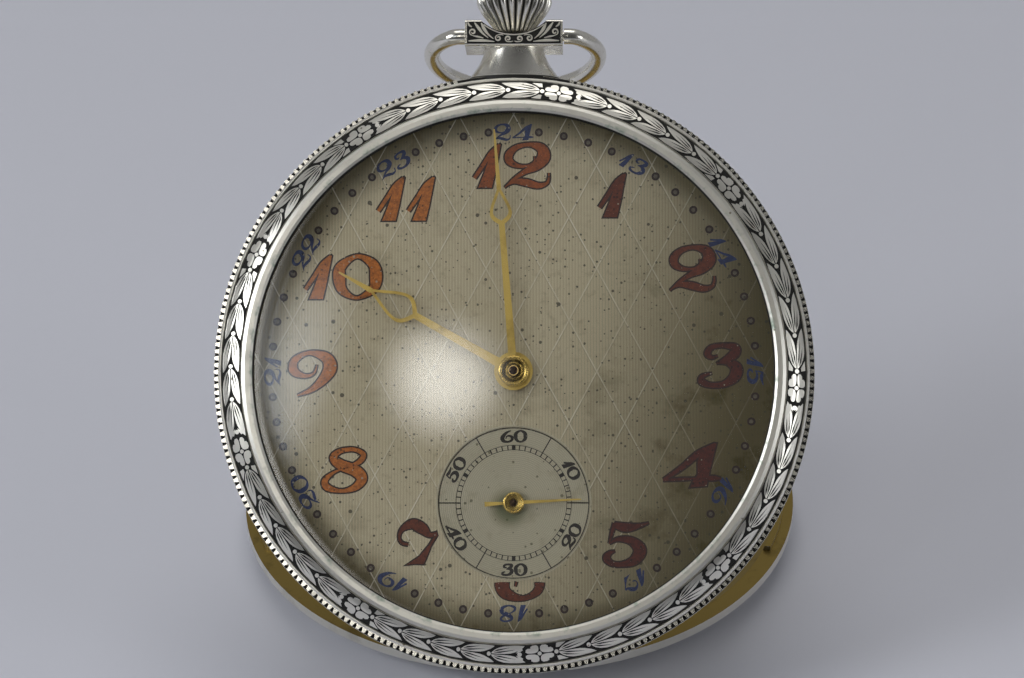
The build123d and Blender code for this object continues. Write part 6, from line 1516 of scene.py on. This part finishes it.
# %% [markdown]
# ## The hands' hubs
#
# A hand is stamped from thin sheet, but its hub is turned: a rim stands proud, and inside it lies a shallow
# dish that keeps its dirt. The domed end of the steel post shows in the middle. Each cap is one section, spun
# round.

# %% Gold for the hubs
RIM_GOLD, DISH_GOLD, POST_STEEL = (0.60, 0.43, 0.13), (0.20, 0.14, 0.04), (0.07, 0.045, 0.03)


def hub_gold(name, centre, post_radius, dish_radius):
    """Gold on the rim, dirty gold in the dish and dark steel in the middle."""
    material, tree, shader, place = new_material(name, 1.0, 0.34, RIM_GOLD)
    radius = radius_from(tree, place, centre)
    dish = below(tree, radius, dish_radius - 0.08, dish_radius)
    post = below(tree, radius, post_radius - 0.03, post_radius)
    grime = patina(tree, place, 0.25, 0.5)
    dirty = blend_colours(tree, grime, DISH_GOLD, darker(DISH_GOLD, 0.4))
    colour = blend_colours(tree, dish, RIM_GOLD, dirty)
    wire(tree, blend_colours(tree, post, colour, POST_STEEL), shader.inputs["Base Color"])
    wire(tree, rising(tree, grime, 0.26, 0.2), shader.inputs["Roughness"])
    return material


# %% Hub caps
MINUTE_CAP = [(0, 1.87), (0.14, 1.86), (0.30, 1.81), (0.41, 1.72), (0.46, 1.60), (0.46, 1.41), (0.60, 1.385),
              (0.92, 1.385), (0.99, 1.44), (1.08, 1.47), (1.18, 1.45), (1.26, 1.39), (1.28, 1.35), (0, 1.35)]
SECONDS_CAP = [(0, 0.775), (0.12, 0.77), (0.22, 0.745), (0.30, 0.735), (0.36, 0.755), (0.60, 0.76),
               (0.70, 0.79), (0.78, 0.80), (0.84, 0.78), (0.87, 0.735), (0.87, 0.725), (0, 0.725)]
MINUTE_POST, MINUTE_DISH, SECONDS_POST, SECONDS_DISH = 0.48, 0.98, 0.32, 0.42
CAP_CREASE = 50                            # degrees

minute_cap = turned("minute_hub", MINUTE_CAP, 48, CAP_CREASE)
minute_gold = hub_gold("minute_hub_gold", (0.0, 0.0), MINUTE_POST, MINUTE_DISH)
onto_watch(minute_cap, "centre_wheel", minute_gold)
seconds_cap = turned("seconds_hub", SECONDS_CAP, 40, CAP_CREASE)
seconds_cap.data.transform(Matrix.Translation(Vector((*SECONDS_CENTRE, 0)) * MM))
seconds_gold = hub_gold("seconds_hub_gold", SECONDS_CENTRE, SECONDS_POST, SECONDS_DISH)
onto_watch(seconds_cap, "fourth_wheel", seconds_gold)
print("hub caps:", minute_cap.name, seconds_cap.name)

# %% [markdown]
# ## The crown
#
# An onion crown swells from a narrow waist and is fluted from its waist to its crown, so that two fingers can
# grip it. The solid's grooves are straight, so a finer one takes its place. A tall drum of many faces is
# given the onion's profile, and its flutes are pressed in where they belong: deepest just above the waist.

# %% Size of the crown
CROWN_FLUTES, STEPS_PER_FLUTE, CROWN_LEVELS = 25, 8, 26
crown_low, crown_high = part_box("crown")
crown_radius = (crown_high[0] - crown_low[0]) / 2 / MM
crown_node = frame["nodes"]["crown"]
crown_heights = [(WATCH.inverted() @ (crown_node.matrix_world @ vertex.co)).y / MM
                 for vertex in crown_node.data.vertices]
crown_base, crown_top = min(crown_heights), max(crown_heights)
print("crown from", round(crown_base, 2), "to", round(crown_top, 2), "mm, radius", round(crown_radius, 2))

# %% Profile of the crown
# share of the height, share of the widest radius, depth of the flutes as a share of the radius
CROWN_PROFILE = [(0.0, 0.40, 0.0), (0.02, 0.47, 0.10), (0.10, 0.56, 0.19), (0.22, 0.71, 0.20),
                 (0.34, 0.86, 0.19), (0.46, 0.965, 0.17), (0.56, 1.0, 0.15), (0.68, 0.970, 0.14),
                 (0.80, 0.875, 0.13), (0.90, 0.69, 0.11), (0.96, 0.50, 0.07), (0.985, 0.33, 0.0),
                 (1.0, 0.20, 0.0)]
FLUTE_BLUNTNESS = 0.75                     # below 1 the ridges are broad and the grooves narrow


def crown_at(share):
    """Radius and depth of the flutes at a share of the crown's height."""
    knots = smooth_line(CROWN_PROFILE, steps=6)
    for (h0, r0, d0), (h1, r1, d1) in zip(knots, knots[1:]):
        if share <= h1:
            part = (share - h0) / max(h1 - h0, 1e-6)
            return r0 + (r1 - r0) * part, max(d0 + (d1 - d0) * part, 0.0)
    return CROWN_PROFILE[-1][1], 0.0


# %% Fluted onion crown
clear_selection()
bpy.ops.mesh.primitive_cylinder_add(vertices=CROWN_FLUTES * STEPS_PER_FLUTE, radius=1.0, depth=1.0,
                                    location=(0, 0, 0), end_fill_type="NGON")
onion = bpy.context.object
onion.name = "fluted_crown"
edit_all(onion)
for level in range(1, CROWN_LEVELS):
    bpy.ops.mesh.select_all(action="SELECT")
    bpy.ops.mesh.bisect(plane_co=(0, 0, level / CROWN_LEVELS - 0.5), plane_no=(0, 0, 1))
end_edit()
for vertex in onion.data.vertices:
    x, y, z = vertex.co
    angle = Vector((x, y)).angle_signed(Vector((1, 0)), 0.0)
    share = z + 0.5
    radius, depth = crown_at(share)
    wave = abs(sin(angle * CROWN_FLUTES / 2))
    reach = radius * crown_radius * (1 - depth * (1 - wave ** FLUTE_BLUNTNESS))
    flat = Vector((x, y)).normalized() * reach
    height = crown_base + share * (crown_top - crown_base)
    vertex.co = Vector((flat.x, height, STEM_AXIS - flat.y)) * MM
recalculated(onion)
bpy.ops.object.shade_smooth_by_angle(angle=radians(CAP_CREASE))

# %% Dark flutes
GROOVE_DARK = (0.30, 0.68)                 # the dark paint fades between these heights of a flute's side
LID_STARTS, LID_ENDS = crown_top - 0.35, crown_top - 0.1


def crown_low_places(tree, place):
    """The bottom of every flute is painted dark, but not the polished lid."""
    x, y, z = axes(tree, place)
    angle = calc(tree, "ARCTAN2", calc(tree, "SUBTRACT", z, STEM_AXIS), x)
    wave = calc(tree, "ABSOLUTE", calc(tree, "SINE", product(tree, angle, CROWN_FLUTES / 2)))
    return product(tree, below(tree, wave, *GROOVE_DARK), below(tree, y, LID_STARTS, LID_ENDS), 0.9)


crown_silver = silver("crown_silver", crown_low_places, roughness=0.22)
onto_watch(onion, "crown", crown_silver)
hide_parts("crown")
print("faces in the crown:", len(onion.data.polygons))
